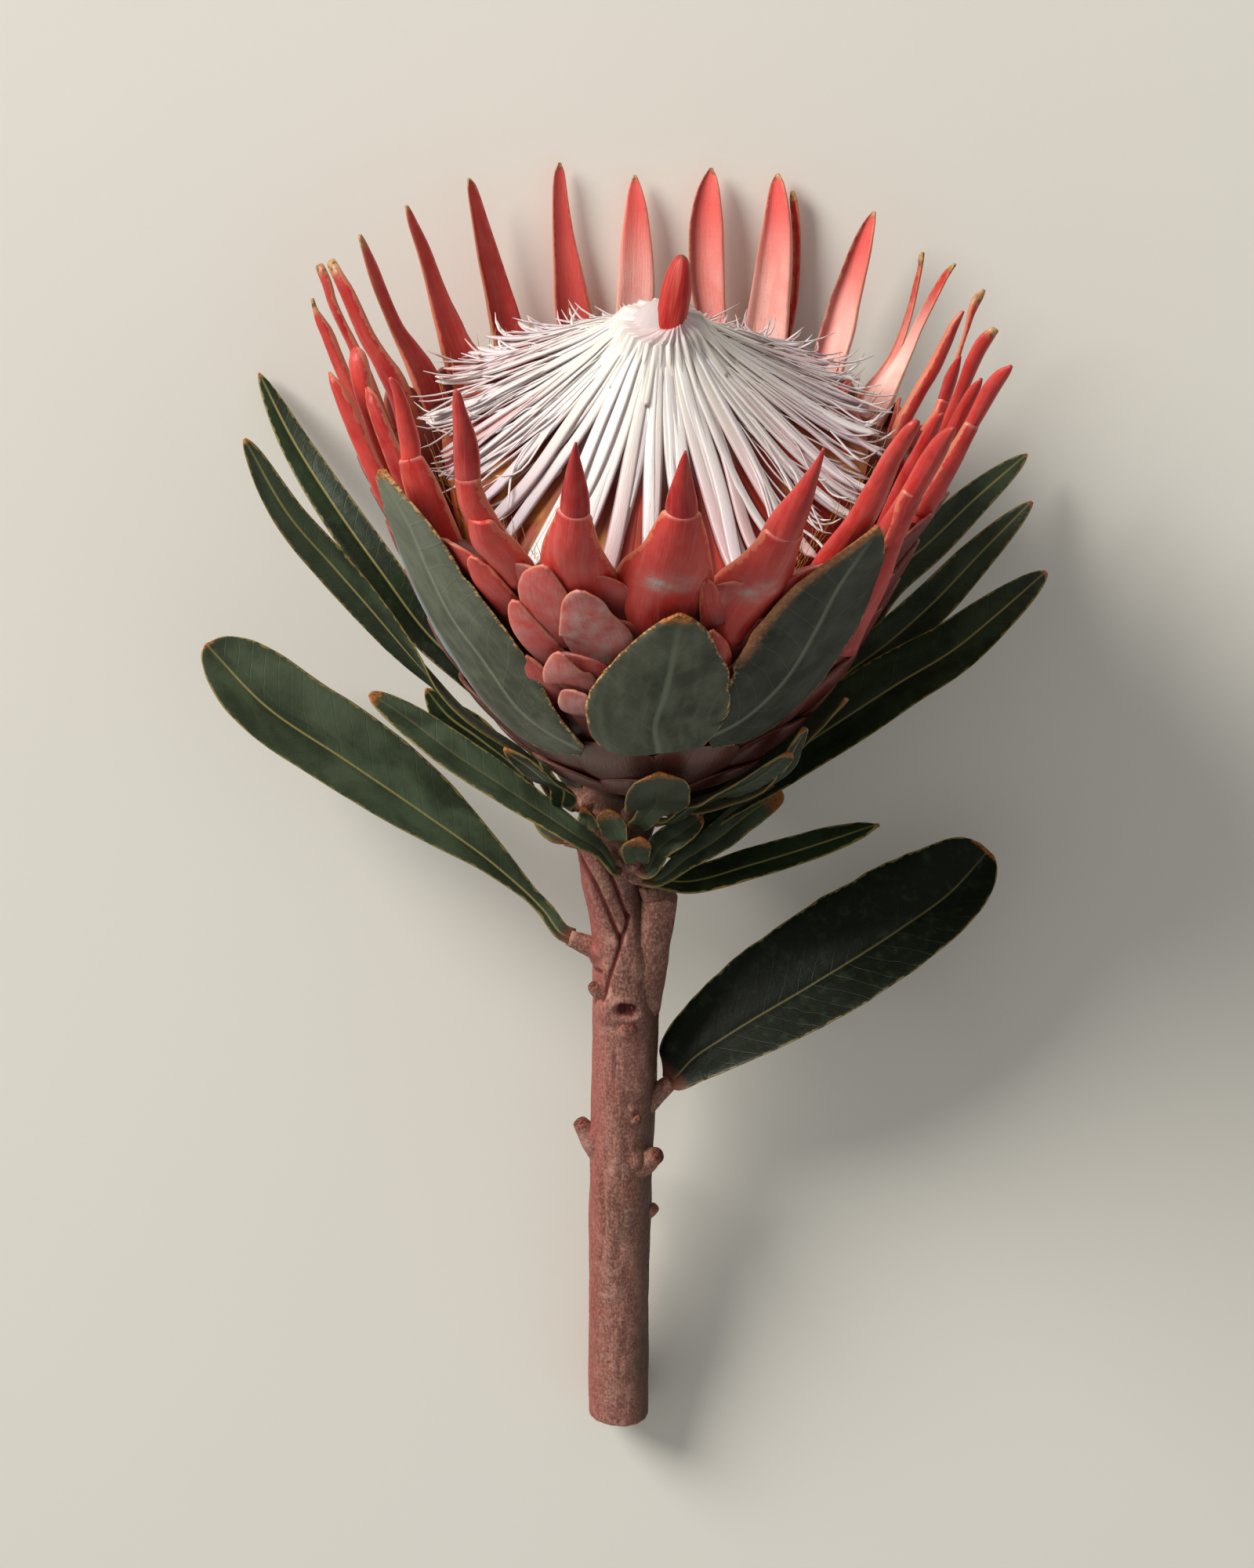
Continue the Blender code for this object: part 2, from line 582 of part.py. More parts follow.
def leaf_plans():
    """Every leaf: name, where its cushion starts, its base, its route, its faces and its form."""
    grown = []

    def plan(name, root, base, route, facing, width, **form):
        grown.append((name, root, base, route, facing, width, form))

    def from_stem(name, azimuth, height, route, facing, width, **form):
        root, base = on_stem(azimuth, height, -3.0), on_stem(azimuth, height, SEAT)
        plan(name, root, base, route, facing, width, **form)

    # The two large leaves that stand off the lower stem.
    plan("leaf_large_left", on_stem(-80, -41, -3.0), drawn(-11.5, -33, -16), [
        drawn(-17.5, -27.3, -15), drawn(-28, -17.5, -14), drawn(-42.7, -6.8, -12),
        drawn(-60, 5, -10), drawn(-77, 16.5, -9), drawn(-89.7, 29.7, -10),
    ], (turned((0.1, 0.4, 0.9)), turned((0.15, 0.3, 0.9))), 21.5,
        belly=0.6, tip_round=0.42, folds=(10, 10), segments=11)
    plan("leaf_large_right", on_stem(75, -79, -3.0), drawn(8.8, -63.7, -33), [
        drawn(13.5, -59, -32), drawn(21, -53.8, -31), drawn(39.3, -42.8, -30),
        drawn(58, -31, -28), drawn(69, -23, -27), drawn(77, -14.2, -26),
    ], (turned((-0.1, 0.35, 0.9)), turned((-0.1, 0.3, 0.9))), 27.0,
        belly=0.55, tip_round=0.4, folds=(6, 24), segments=11, shift=0.12)

    # The whorl under the bowl, on the left.
    from_stem("leaf_left_low", 2, -14.5, [
        drawn(-6, -14.2, 6.5), drawn(-11, -11, 10), drawn(-19, -5.7, 9), drawn(-27.8, 0.2, 9),
        drawn(-36.8, 6.2, 8.5), drawn(-45.8, 13, 7), drawn(-54.7, 19.2, 6),
    ], (RIGHT, turned((0.3, 0.75, 0.6))), 9.0, belly=0.6, tip_round=0.5)
    from_stem("leaf_left_outer", -84, -3.5, [
        by_bowl(-84, 7, 4.2), by_bowl(-84, 17, 6), drawn(-44, 25.3, 11), drawn(-55, 38, 14),
        drawn(-63, 47, 17), drawn(-71, 56, 22), drawn(-81.3, 73.3, 30),
    ], (DOWN_STEM, turned((-0.2, 0.3, 0.9))), 11.0, belly=0.55, tip_round=0.45)
    from_stem("leaf_left_upper", -112, -5.6, [
        by_bowl(-110, 8, 4.8), by_bowl(-108, 18, 5.6), drawn(-42.5, 32, -5), drawn(-52, 44.7, -6),
        drawn(-61.5, 58, -9), drawn(-71.2, 73.3, -14), drawn(-78.3, 87.3, -18),
    ], (turned((-0.4, 0.3, 0.8)), turned((0.1, 0.2, 0.95))), 10.5, belly=0.6, tip_round=0.6)
    from_stem("leaf_left_dark", -90, -13.6, [
        drawn(-18.3, -5, -8.5), drawn(-22.5, 2.6, -8.5), drawn(-31, 9.5, -8), drawn(-38, 14.5, -7),
        drawn(-42.8, 20.3, -6),
    ], (DOWN_STEM, turned((-0.3, 0.4, 0.8))), 9.5, segments=8)
    from_stem("leaf_left_short", -60, -2.4, [
        by_bowl(-46, 7, 2.6), by_bowl(-44, 11.5, 3), by_bowl(-46, 16, 3), by_bowl(-50, 20, 4),
    ], (DOWN_STEM, turned((-0.5, -0.3, 0.8))), 7.0, segments=7)

    # The whorl under the bowl, on the right.
    from_stem("leaf_right_upper", 116, -7, [
        by_bowl(112, 10, 4.2), by_bowl(109, 22, 5.2), drawn(55, 43.3, -5), drawn(64, 51, -7),
        drawn(74, 60.5, -10), drawn(85, 70, -15),
    ], (turned((0.4, 0.3, 0.8)), turned((-0.1, 0.2, 0.95))), 9.5, belly=0.6, tip_round=0.55)
    from_stem("leaf_right_middle", 97, -4.6, [
        by_bowl(98, 8, 3.6), by_bowl(98, 18, 5), drawn(46, 22.7, 1), drawn(55, 29.5, 3),
        drawn(65, 38.3, 4), drawn(75, 48.7, 5), drawn(86.2, 60, 7),
    ], (turned((0.4, 0.2, 0.8)), turned((-0.1, 0.4, 0.9))), 9.5, belly=0.6, tip_round=0.55)
    from_stem("leaf_right_outer", 78, -14, [
        drawn(18, -7, 2), drawn(32, 1.2, 7.5), drawn(46, 11.4, 13), drawn(58, 20, 14),
        drawn(69, 28, 15), drawn(79.5, 36.5, 15), drawn(89.2, 45, 14),
    ], (turned((0.1, 0.35, 0.9)), turned((-0.2, 0.4, 0.9))), 14.5, belly=0.5, tip_round=0.55,
        folds=(8, 20), segments=11)
    from_stem("leaf_right_tucked", 76, -2.4, [
        by_bowl(65, 9, 1.6), by_bowl(62, 20, 2.2), by_bowl(61, 33, 4),
    ], (outward(62), outward(62)), 10, belly=0.65, tip_round=0.4, segments=7)
    from_stem("leaf_right_curled", 60, -2.6, [
        by_bowl(52.5, 6, 7), by_bowl(48, 17, 6.6), by_bowl(44, 26, 5), by_bowl(42, 32.5, 5.2),
    ], (outward(50), outward(42)), 6.5, belly=0.65, tip_round=0.4, segments=7)
    from_stem("leaf_right_spoon", 34, -2.8, [
        by_bowl(30, 6, 3), by_bowl(31, 12, 4), by_bowl(35, 19, 6), by_bowl(39, 27, 7.2),
    ], (outward(30), outward(38)), 6.5, belly=0.7, tip_round=0.4, segments=7)

    # The leaves on the side shoot, and the small one beside it.
    from_stem("leaf_shoot_front", 51, -19.5, [
        drawn(12.7, -16, -2.5), drawn(19, -12, 0), drawn(25.3, -7, 3), drawn(33, -1.7, 5),
    ], (turned((-0.3, 0.5, 0.8)), turned((-0.3, 0.2, 0.9))), 7.5, belly=0.7, tip_round=0.35)
    plan("leaf_shoot_long", SHOOT_TOP, drawn(7.2, -22.3, -8), [
        drawn(13.3, -21.0, -7.5), drawn(26.7, -17.3, -6), drawn(41.7, -12.7, -5),
        drawn(53.7, -8.7, -4),
    ], (turned((-0.1, 0.6, 0.8)), turned((-0.2, 0.5, 0.8))), 8.5, belly=0.5, tip_round=0.6)
    from_stem("leaf_blunt_small", 38, -16, [
        drawn(7, -13.6, 3.6), drawn(11.5, -10.4, 6), drawn(16, -7, 8.4),
    ], (turned((-0.2, 0.3, 0.9)), turned((-0.2, 0.1, 0.9))), 6.2, belly=0.6, tip_round=0.3, segments=6)

    # The small bracts in front, where the stem meets the bowl.
    from_stem("small_bract_broad", 10, -2.4, [
        by_bowl(6, 5.5, 2.6), by_bowl(5, 13, 2.6), by_bowl(4, 23, 3),
    ], (outward(6), outward(4)), 14.0, belly=0.7, tip_round=0.3, segments=7)
    from_stem("small_bract_grey", 1, -6.6, [
        drawn(-2.8, -9, 11.5), drawn(-4.6, -5.6, 16),
    ], (DOWN_STEM, turned((-0.1, -0.3, 0.9))), 6.4, belly=0.6, tip_round=0.35, segments=5)
    from_stem("small_bract_brown", 23, -12.4, [
        drawn(1.8, -14, 8), drawn(2.8, -11.6, 13.5),
    ], (DOWN_STEM, turned((0.1, -0.3, 0.9))), 6.5, belly=0.6, tip_round=0.35, segments=5)
    from_stem("small_bract_pale", -33, -5, [
        drawn(-8, -7.6, 8.5), drawn(-9.2, -4.8, 12),
    ], (DOWN_STEM, turned((-0.5, -0.2, 0.8))), 5.0, belly=0.4, tip_round=0.6, segments=5)

    # The leaves behind, between the bowl and the surface.
    from_stem("leaf_back_left", -145, -5, [
        by_bowl(-142, 10, 3.5), by_bowl(-138, 25, 4), by_bowl(-133, 43, 5), by_bowl(-129, 62, 5),
    ], (outward(-143), outward(-130)), 12.0, belly=0.6)
    from_stem("leaf_back_right", 142, -5, [
        by_bowl(139, 10, 3.5), by_bowl(136, 26, 4), by_bowl(131, 45, 5), by_bowl(127, 65, 5),
    ], (DOWN_STEM, outward(128)), 12.0, belly=0.6)
    from_stem("leaf_under_left", -160, -14, [
        lying(-15, 4, 16), lying(-21, 20, 5), lying(-25, 38, 2.2),
    ], (DOWN_STEM, turned((-0.1, 0.1, -0.9))), 10.0, belly=0.6, segments=8)
    from_stem("leaf_under_right", 158, -15, [
        lying(19, 2, 16), lying(27, 18, 5), lying(33, 36, 2.2),
    ], (DOWN_STEM, turned((0.1, 0.1, -0.9))), 10.0, belly=0.6, segments=8)
    from_stem("leaf_under_middle", 180, -7, [
        lying(4, 6, 17), lying(5, 18, 9), lying(5, 33, 3.4),
    ], (DOWN_STEM, turned((0.0, 0.1, -0.9))), 9.0, belly=0.6, segments=8)
    return grown


def leaves(material):
    for name, root, base, route, facing, width, form in leaf_plans():
        start = toward(base, base * 2 - root, STALK_RUN)
        leaf(name, base, [start] + route, width, facing, material, **form)


def stem(material):
    """The woody stem with its side shoot, and a cushion or a scar wherever a leaf grew."""
    route = [HEAD_BASE + AXIS * s + RIGHT * x + FRONT * y for x, y, s, radius in STEM]
    radii = [row[3] for row in STEM]
    body = tube("stem", route, radii, STEM_SIDES, material)
    shoot = [HEAD_BASE + AXIS * s + RIGHT * x + FRONT * y for x, y, s, radius in SHOOT]
    pieces = [tube("shoot", shoot, [row[3] for row in SHOOT], 10, material)]
    for name, root, base, *_ in leaf_plans():
        end = toward(base, root, SEAT_GAP)
        pieces.append(tube("cushion", [root, end], (2.8, 1.7), 6, material))
    for azimuth, height, rise, out, radius in STEM_SCARS:
        root, middle = on_stem(azimuth, height, -3.0), on_stem(azimuth, height + rise, 0.4 * out)
        end = on_stem(azimuth, height + 1.4 * rise, out)
        radii = (radius * 1.2, radius * 1.1, radius * 0.8)
        pieces.append(tube("scar", [root, middle, end], radii, 7, material))
    joined = join(body, pieces)
    for vertex in joined.data.vertices:
        vertex.co.z = max(vertex.co.z, 0.0)
    return joined


def settle():
    """Moves the origin to the middle of the box's underside."""
    corners = np.array([vertex.co for obj in bpy.data.objects for vertex in obj.data.vertices])
    low, high = corners.min(axis=0), corners.max(axis=0)
    move = Vector(((low[0] + high[0]) / -2, (low[1] + high[1]) / -2, -low[2]))
    for obj in bpy.data.objects:
        obj.data.transform(Matrix.Translation(move))
    return move


def build():
    clear_scene()
    red = make_material("bract_red", (0.55, 0.09, 0.08), 0.5)
    core_red = make_material("core_red", (0.35, 0.04, 0.03), 0.5)
    white = make_material("strand_white", (0.85, 0.83, 0.82), 0.35)
    grey_green = make_material("bract_grey_green", (0.16, 0.19, 0.15), 0.6)
    leaf_green = make_material("leaf_green", (0.06, 0.1, 0.05), 0.45)
    bark = make_material("stem_bark", (0.3, 0.16, 0.14), 0.7)
    bract_head(red)
    floret_core(core_red)
    floret_strands(white)
    for name, (route, widths, lift) in GREEN_BRACTS.items():
        bowl_bract(name, route, widths, lift, grey_green)
    leaves(leaf_green)
    stem(bark)
    return settle()


build()
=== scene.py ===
import math
import random
import bpy
import numpy as np
from mathutils import Matrix, Vector


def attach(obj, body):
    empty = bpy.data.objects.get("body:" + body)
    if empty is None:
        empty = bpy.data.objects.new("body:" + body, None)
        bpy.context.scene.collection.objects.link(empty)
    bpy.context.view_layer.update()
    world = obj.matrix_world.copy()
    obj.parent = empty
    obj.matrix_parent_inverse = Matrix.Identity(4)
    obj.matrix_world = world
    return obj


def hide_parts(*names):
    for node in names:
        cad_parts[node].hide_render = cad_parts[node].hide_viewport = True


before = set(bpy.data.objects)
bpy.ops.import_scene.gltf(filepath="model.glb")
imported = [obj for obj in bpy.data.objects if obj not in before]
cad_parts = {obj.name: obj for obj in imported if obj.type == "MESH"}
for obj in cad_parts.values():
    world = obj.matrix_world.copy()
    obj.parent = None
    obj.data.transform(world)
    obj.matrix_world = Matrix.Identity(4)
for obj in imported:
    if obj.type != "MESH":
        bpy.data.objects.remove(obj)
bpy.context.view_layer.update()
print("frame loaded:", len(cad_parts), "nodes")

# Shapes are worked out in millimetres, from the head's base, and angles are in degrees.
lie = {
    "rise": 12.9,                # how steeply the head's axis climbs
    "lean": 2.1,                 # and leans to the right
    "base": (3.0, 0.0, 42.2),    # the base of the head
    "move": (1.98, 17.13, 0.0),  # from there to the middle of the box
    "drawnTilt": 14.6,           # the eye looks down this far from straight above
    "eye": 1200.0,
}
riseAngle, leanAngle = math.radians(lie["rise"]), math.radians(lie["lean"])
axisWay = np.array([
    math.sin(leanAngle),
    math.cos(leanAngle) * math.cos(riseAngle),
    math.cos(leanAngle) * math.sin(riseAngle),
])
frontWay = np.array([0.0, -math.sin(riseAngle), math.cos(riseAngle)])
rightWay = np.cross(axisWay, frontWay)
headBase = np.array(lie["base"])
drawnCos = math.cos(math.radians(lie["drawnTilt"]))
drawnSin = math.sin(math.radians(lie["drawnTilt"]))
upWay = np.array([0.0, drawnCos, -drawnSin])       # up the drawing
towardEye = np.array([0.0, drawnSin, drawnCos])    # out of the drawing
# Where the head's base stands in the photograph, in pixels, and how many make a millimetre.
# The search for what a pixel shows starts at a first height, and takes this many steps.
photo = {"x": 800.0, "y": 1000.0, "scale": 6.0, "firstHeight": 90.0, "steps": 40}


def smoothThrough(values, places):
    # A smooth curve through the points, read at places from 0 to 1 along its length.
    values = np.asarray(values, float)
    gaps = np.linalg.norm(np.diff(values, axis=0), axis=1)
    knots = np.concatenate([[0.0], np.cumsum(gaps)]) / gaps.sum()
    slopes = np.gradient(values, knots, axis=0)
    places = np.clip(np.asarray(places, float), 0.0, 1.0)
    low = np.clip(np.searchsorted(knots, places, side="right") - 1, 0, len(knots) - 2)
    span = (knots[low + 1] - knots[low])[:, None]
    t = (places - knots[low])[:, None] / span
    start = (1 + 2 * t) * (1 - t) ** 2 * values[low] + t * (1 - t) ** 2 * span * slopes[low]
    end = t * t * (3 - 2 * t) * values[low + 1] + t * t * (t - 1) * span * slopes[low + 1]
    return start + end


def easeThrough(x, knots, values):
    # A smooth graph through the values at the knots, which doesn't overshoot them.
    knots, values = np.asarray(knots, float), np.asarray(values, float)
    steps = np.diff(values) / np.diff(knots)
    slopes = np.zeros(len(knots))
    both = steps[1:] * steps[:-1]
    slopes[1:-1] = np.where(both > 0, 2 * both / np.where(both > 0, steps[1:] + steps[:-1], 1), 0)
    slopes[0], slopes[-1] = steps[0], steps[-1]
    x = np.clip(x, knots[0], knots[-1])
    low = np.clip(np.searchsorted(knots, x, side="right") - 1, 0, len(knots) - 2)
    span = knots[low + 1] - knots[low]
    t = (x - knots[low]) / span
    start = (1 + 2 * t) * (1 - t) ** 2 * values[low] + t * (1 - t) ** 2 * span * slopes[low]
    return start + t * t * (3 - 2 * t) * values[low + 1] + t * t * (t - 1) * span * slopes[low + 1]


def soften(x, low, high):
    # From 0 at low to 1 at high, with an easy start and end.
    t = np.clip((np.asarray(x, float) - low) / (high - low), 0.0, 1.0)
    return t * t * (3 - 2 * t)


def ripple(x, y, seed, size=1.0, layers=9):
    # Smooth unevenness between about -1 and 1: sines along seeded ways, each finer and weaker.
    chance = np.random.default_rng(seed)
    x, y = np.broadcast_arrays(np.asarray(x, float), np.asarray(y, float))
    total = np.zeros(x.shape)
    for k in range(layers):
        way = chance.normal(0.0, 1.3 * 1.25**k / size, 2)
        total += np.sin(x * way[0] + y * way[1] + chance.uniform(0, 2 * math.pi)) / 1.2**k
    return total / 2.6


def unit(ways):
    return ways / np.maximum(np.linalg.norm(ways, axis=-1, keepdims=True), 1e-9)


def outward(azimuth):
    # The way out from the head's axis: azimuth 0 is the front and 90 the right.
    angle = np.radians(azimuth)[..., None]
    return np.cos(angle) * frontWay + np.sin(angle) * rightWay


def onHead(azimuth, radius, height):
    # A point round the head's axis, where height is along the axis.
    azimuth, radius, height = np.broadcast_arrays(azimuth, radius, height)
    return headBase + height[..., None] * axisWay + radius[..., None] * outward(azimuth)


def byAxis(right, front, height):
    # A point beside the head's axis.
    return headBase + axisWay * height + rightWay * right + frontWay * front


def turned(x, y, depth):
    # A direction given on the drawing, as a unit vector of the lying flower.
    return unit(np.array([1.0, 0, 0]) * x + upWay * y + towardEye * depth)


def drawn(x, y, depth):
    # The point at this depth that the front drawing shows at x, y from the head's base.
    near = (lie["eye"] - depth) / lie["eye"]
    across = np.array([x * near, 0.0, headBase[2]])
    return across + upWay * (y * near) + towardEye * depth


def bladeRing(spots):
    # Round a blade's cross-section: place across, which face, and share of the thickness.
    over = np.asarray(spots, float)
    under = over[-2:0:-1]
    across = np.concatenate([over, under])
    face = np.concatenate([np.ones(len(over)), -np.ones(len(under))])
    face[0] = face[len(over) - 1] = 0.0
    return across, face, np.sqrt(1 - np.abs(across) ** 5)


def evenSpots(half, edge=1.6):
    # Places across a blade from -1 to 1, closer together towards its edges.
    t = np.linspace(0, 1, half + 1)
    side = 1 - (1 - t) ** edge
    return np.concatenate([-side[:0:-1], side])


def closedSkin(rows, **marks):
    # A closed surface over rings of points, with a point in the middle of each end ring.
    count, ring = rows.shape[:2]
    here = np.arange(count * ring).reshape(count, ring)
    after = np.roll(here, -1, axis=1)
    quads = np.stack([here[:-1], after[:-1], after[1:], here[1:]], axis=-1).reshape(-1, 4)
    first, last = count * ring, count * ring + 1
    ends = np.concatenate([
        np.stack([after[0], here[0], np.full(ring, first)], axis=1),
        np.stack([here[-1], after[-1], np.full(ring, last)], axis=1),
    ])

    def withEnds(grid):
        flat = np.broadcast_to(grid, (count, ring, 3)).reshape(-1, 3)
        return np.concatenate([flat, flat[:ring].mean(axis=0)[None], flat[-ring:].mean(axis=0)[None]])

    points = withEnds(rows)
    corners = np.concatenate([quads[:, :3], quads[:, [0, 2, 3]], ends])
    a, b, c = (points[corners[:, k]] - points[0] for k in range(3))
    if (np.cross(a, b) * c).sum() < 0:
        quads, ends = quads[:, ::-1], ends[:, ::-1]
    return points, quads, ends, {name: withEnds(grid) for name, grid in marks.items()}


def triple(*values):
    # Three values that change over a surface, as one grid of vectors.
    return np.stack(np.broadcast_arrays(*[np.asarray(v, float) for v in values]), axis=-1)


def makePiece(name, skins, material, node):
    # One object from closed skins, at the origin, in metres, standing for its solid.
    points, faces, start = [], [], 0
    for skin in skins:
        points.append(skin[0])
        faces += (skin[1] + start).tolist() + (skin[2] + start).tolist()
        start += len(skin[0])
    mesh = bpy.data.meshes.new(name)
    places = (np.concatenate(points) + np.array(lie["move"])) * 0.001
    mesh.from_pydata(places.tolist(), [], faces)
    for mark in skins[0][3]:
        values = np.concatenate([skin[3][mark] for skin in skins]).astype(np.float32)
        mesh.attributes.new(mark, "FLOAT_VECTOR", "POINT").data.foreach_set("vector", values.ravel())
    mesh.materials.append(material)
    mesh.shade_smooth()
    piece = bpy.data.objects.new(name, mesh)
    bpy.context.scene.collection.objects.link(piece)
    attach(piece, "root")
    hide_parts(node)
    return piece


# Materials: small helpers that put nodes together.
def add(tree, kind, inputs=None, **settings):
    # A node with its settings. Each input is a value, or the output that it is linked from.
    made = tree.nodes.new("ShaderNode" + kind)
    for name, value in settings.items():
        setattr(made, name, value)
    for socket, value in (inputs or {}).items():
        if isinstance(value, bpy.types.NodeSocket):
            tree.links.new(value, made.inputs[socket])
        else:
            made.inputs[socket].default_value = value
    return made


def place(tree, group, inputs):
    # A node group, placed in a material with its own values.
    return add(tree, "Group", inputs, node_tree=group).outputs


def newPaint(name, fixed):
    # A material with one Principled shader, whose even values are set on its own sockets.
    material = bpy.data.materials.new(name)
    material.use_nodes = True
    shader = material.node_tree.nodes["Principled BSDF"]
    for socket, value in fixed.items():
        shader.inputs[socket].default_value = value
    return material, material.node_tree, shader


def colour(code):
    # A colour given as six hex digits, in the linear values that nodes hold.
    parts = np.array([int(code[k:k + 2], 16) / 255 for k in (0, 2, 4)])
    linear = np.where(parts <= 0.04045, parts / 12.92, ((parts + 0.055) / 1.055) ** 2.4)
    return (*linear.tolist(), 1.0)


def readMark(tree, name):
    # A surface's own vector, whole and as its three values.
    read = add(tree, "Attribute", attribute_name=name).outputs["Vector"]
    return [read] + list(add(tree, "SeparateXYZ", {0: read}).outputs)


def sums(tree, operation, first, second=0.0, clamp=False):
    return add(tree, "Math", {0: first, 1: second}, operation=operation, use_clamp=clamp).outputs[0]


def times(tree, *values):
    product = values[0]
    for value in values[1:]:
        product = sums(tree, "MULTIPLY", product, value)
    return product


def fade(tree, value, low, high, start=0.0, end=1.0):
    # From start to end as the value goes from low to high, eased.
    made = add(tree, "MapRange", {0: value, 1: low, 2: high, 3: start, 4: end})
    made.interpolation_type = "SMOOTHSTEP"
    return made.outputs[0]


def mixed(tree, share, first, second, blend="MIX"):
    made = add(tree, "Mix", {0: share, 6: first, 7: second}, data_type="RGBA", blend_type=blend)
    return made.outputs[2]


def cloud(tree, where, scale, detail=3.0, stretch=(1.0, 1.0, 1.0), warp=0.0):
    # Noise from 0 to 1, with this many waves to the unit of its place, stretched by axis.
    size = tuple(scale * s for s in stretch)
    spot = add(tree, "Mapping", {"Vector": where, "Scale": size}).outputs[0]
    made = add(tree, "TexNoise", {"Vector": spot, "Scale": 1.0, "Detail": detail, "Distortion": warp})
    return made.outputs[0]


def newGroup(name, inputs, outputs):
    # A node group whose sockets are numbers, unless the name of one ends in Colour or Place.
    group = bpy.data.node_groups.new(name, "ShaderNodeTree")

    def socket(title, side):
        kind = "Color" if title.endswith("Colour") else "Vector" if title.endswith("Place") else "Float"
        group.interface.new_socket(name=title, in_out=side, socket_type="NodeSocket" + kind)

    for title in inputs:
        socket(title, "INPUT")
    for title in outputs:
        socket(title, "OUTPUT")
    return group, group.nodes.new("NodeGroupInput").outputs, group.nodes.new("NodeGroupOutput").inputs


def makeFibres():
    # Fine lengthwise fibres with coarser streaks, in millimetres across and along.
    group, given, out = newGroup("fibres", ("Grain Place", "Fineness"), ("Fibre", "Streak"))
    fine = add(group, "VectorMath", {0: given[0], 3: given[1]}, operation="SCALE").outputs[0]
    fibre = cloud(group, fine, 1.0, 3.0, (3.2, 0.22, 1.0))
    streak = cloud(group, fine, 1.0, 2.0, (0.9, 0.07, 1.0), 0.4)
    group.links.new(fibre, out[0])
    group.links.new(streak, out[1])
    return group


def makeDriedEdge():
    # A rough brown margin: 1 at the edge, and 0 further in than its width, unevenly.
    group, given, out = newGroup("driedEdge", ("Grain Place", "Edge", "Width"), ("Share",))
    uneven = cloud(group, given[0], 0.55, 4.0)
    reach = times(group, given[2], fade(group, uneven, 0.3, 0.7, 0.35, 1.7))
    share = sums(group, "SUBTRACT", 1.0, sums(group, "DIVIDE", given[1], reach), True)
    group.links.new(fade(group, share, 0.0, 0.55), out[0])
    return group


fibreGroup = makeFibres()
driedEdgeGroup = makeDriedEdge()


def makeBump(tree, shader, height, strength, distance):
    # distance is in millimetres.
    bump = add(tree, "Bump", {"Height": height, "Strength": strength, "Distance": distance * 0.001})
    tree.links.new(bump.outputs[0], shader.inputs["Normal"])


def veinShare(tree, x, y, where, slant, gap):
    # Thin side veins that leave the midrib at a slant, a gap apart in millimetres.
    away = sums(tree, "ABSOLUTE", x)
    bent = sums(tree, "MULTIPLY", cloud(tree, where, 0.12, 2.0), 3.0)
    phase = sums(tree, "SUBTRACT", y, times(tree, away, slant))
    phase = sums(tree, "DIVIDE", sums(tree, "ADD", phase, bent), gap)
    saw = sums(tree, "ABSOLUTE", sums(tree, "SUBTRACT", sums(tree, "FRACT", phase), 0.5))
    return away, fade(tree, saw, 0.05, 0.0)


def product(tree, masks, factors):
    # Each factor is a number, a mask, or a mask with the two values that it is eased between
    # and, where they aren't 0 and 1, the two that it gives there.
    made = []
    for factor in factors:
        eased = isinstance(factor, tuple)
        made.append(fade(tree, masks[factor[0]], *factor[1:]) if eased else masks.get(factor, factor))
    return times(tree, *made)


def summed(tree, masks, terms):
    # The sum of products.
    total = product(tree, masks, terms[0])
    for term in terms[1:]:
        total = sums(tree, "ADD", total, product(tree, masks, term))
    return total


def layered(tree, masks, tones, ground, *layers):
    # Tones over a ground. Each layer is a tone, or tones over a ground of their own, and then
    # the factors of its share.
    body = colour(tones[ground])
    for upper, *factors in layers:
        over = colour(tones[upper]) if isinstance(upper, str) else layered(tree, masks, tones, *upper)
        body = mixed(tree, product(tree, masks, factors), body, over)
    return body


def makePaint(name, paint):
    # A material from its dictionary. Marks name the values that a surface carries, clouds are
    # noise, mixes are sums of products, and tone, rough and relief are worked out from them.
    material, tree, shader = newPaint(name, paint["fixed"])
    masks = {}
    for mark, parts in paint.get("marks", {}).items():
        masks[mark], *values = readMark(tree, mark)
        masks.update(zip(parts, values))
    if "fineness" in paint:
        given = {"Grain Place": masks["grain"], "Fineness": paint["fineness"]}
        masks["fibre"], masks["streak"] = place(tree, fibreGroup, given)[:2]
    for title, (where, *form) in paint.get("clouds", {}).items():
        if where not in masks:
            masks[where] = add(tree, "TexCoord").outputs["Object"]
        masks[title] = cloud(tree, masks[where], *form)
    if "veins" in paint:
        where = (masks[part] for part in ("x", "y", "grain"))
        masks["away"], masks["veins"] = veinShare(tree, *where, *paint["veins"])
    if "rim" in paint:
        width = masks.get(paint["rim"], paint["rim"])
        given = {"Grain Place": masks["grain"], "Edge": masks["margin"], "Width": width}
        masks["rim"] = place(tree, driedEdgeGroup, given)[0]
    for title, terms in paint.get("mixes", {}).items():
        masks[title] = summed(tree, masks, terms)
    tree.links.new(layered(tree, masks, paint["tones"], *paint["tone"]), shader.inputs["Base Color"])
    if "rough" in paint:
        tree.links.new(summed(tree, masks, paint["rough"]), shader.inputs["Roughness"])
    makeBump(tree, shader, summed(tree, masks, paint["relief"]), *paint["bump"])
    return material


# The camera stands where the photograph was taken from, over the lying flower.
camera = {"distance": 1200.0, "frameTall": 333.33, "sensor": 24.0, "near": 0.02, "far": 20.0}


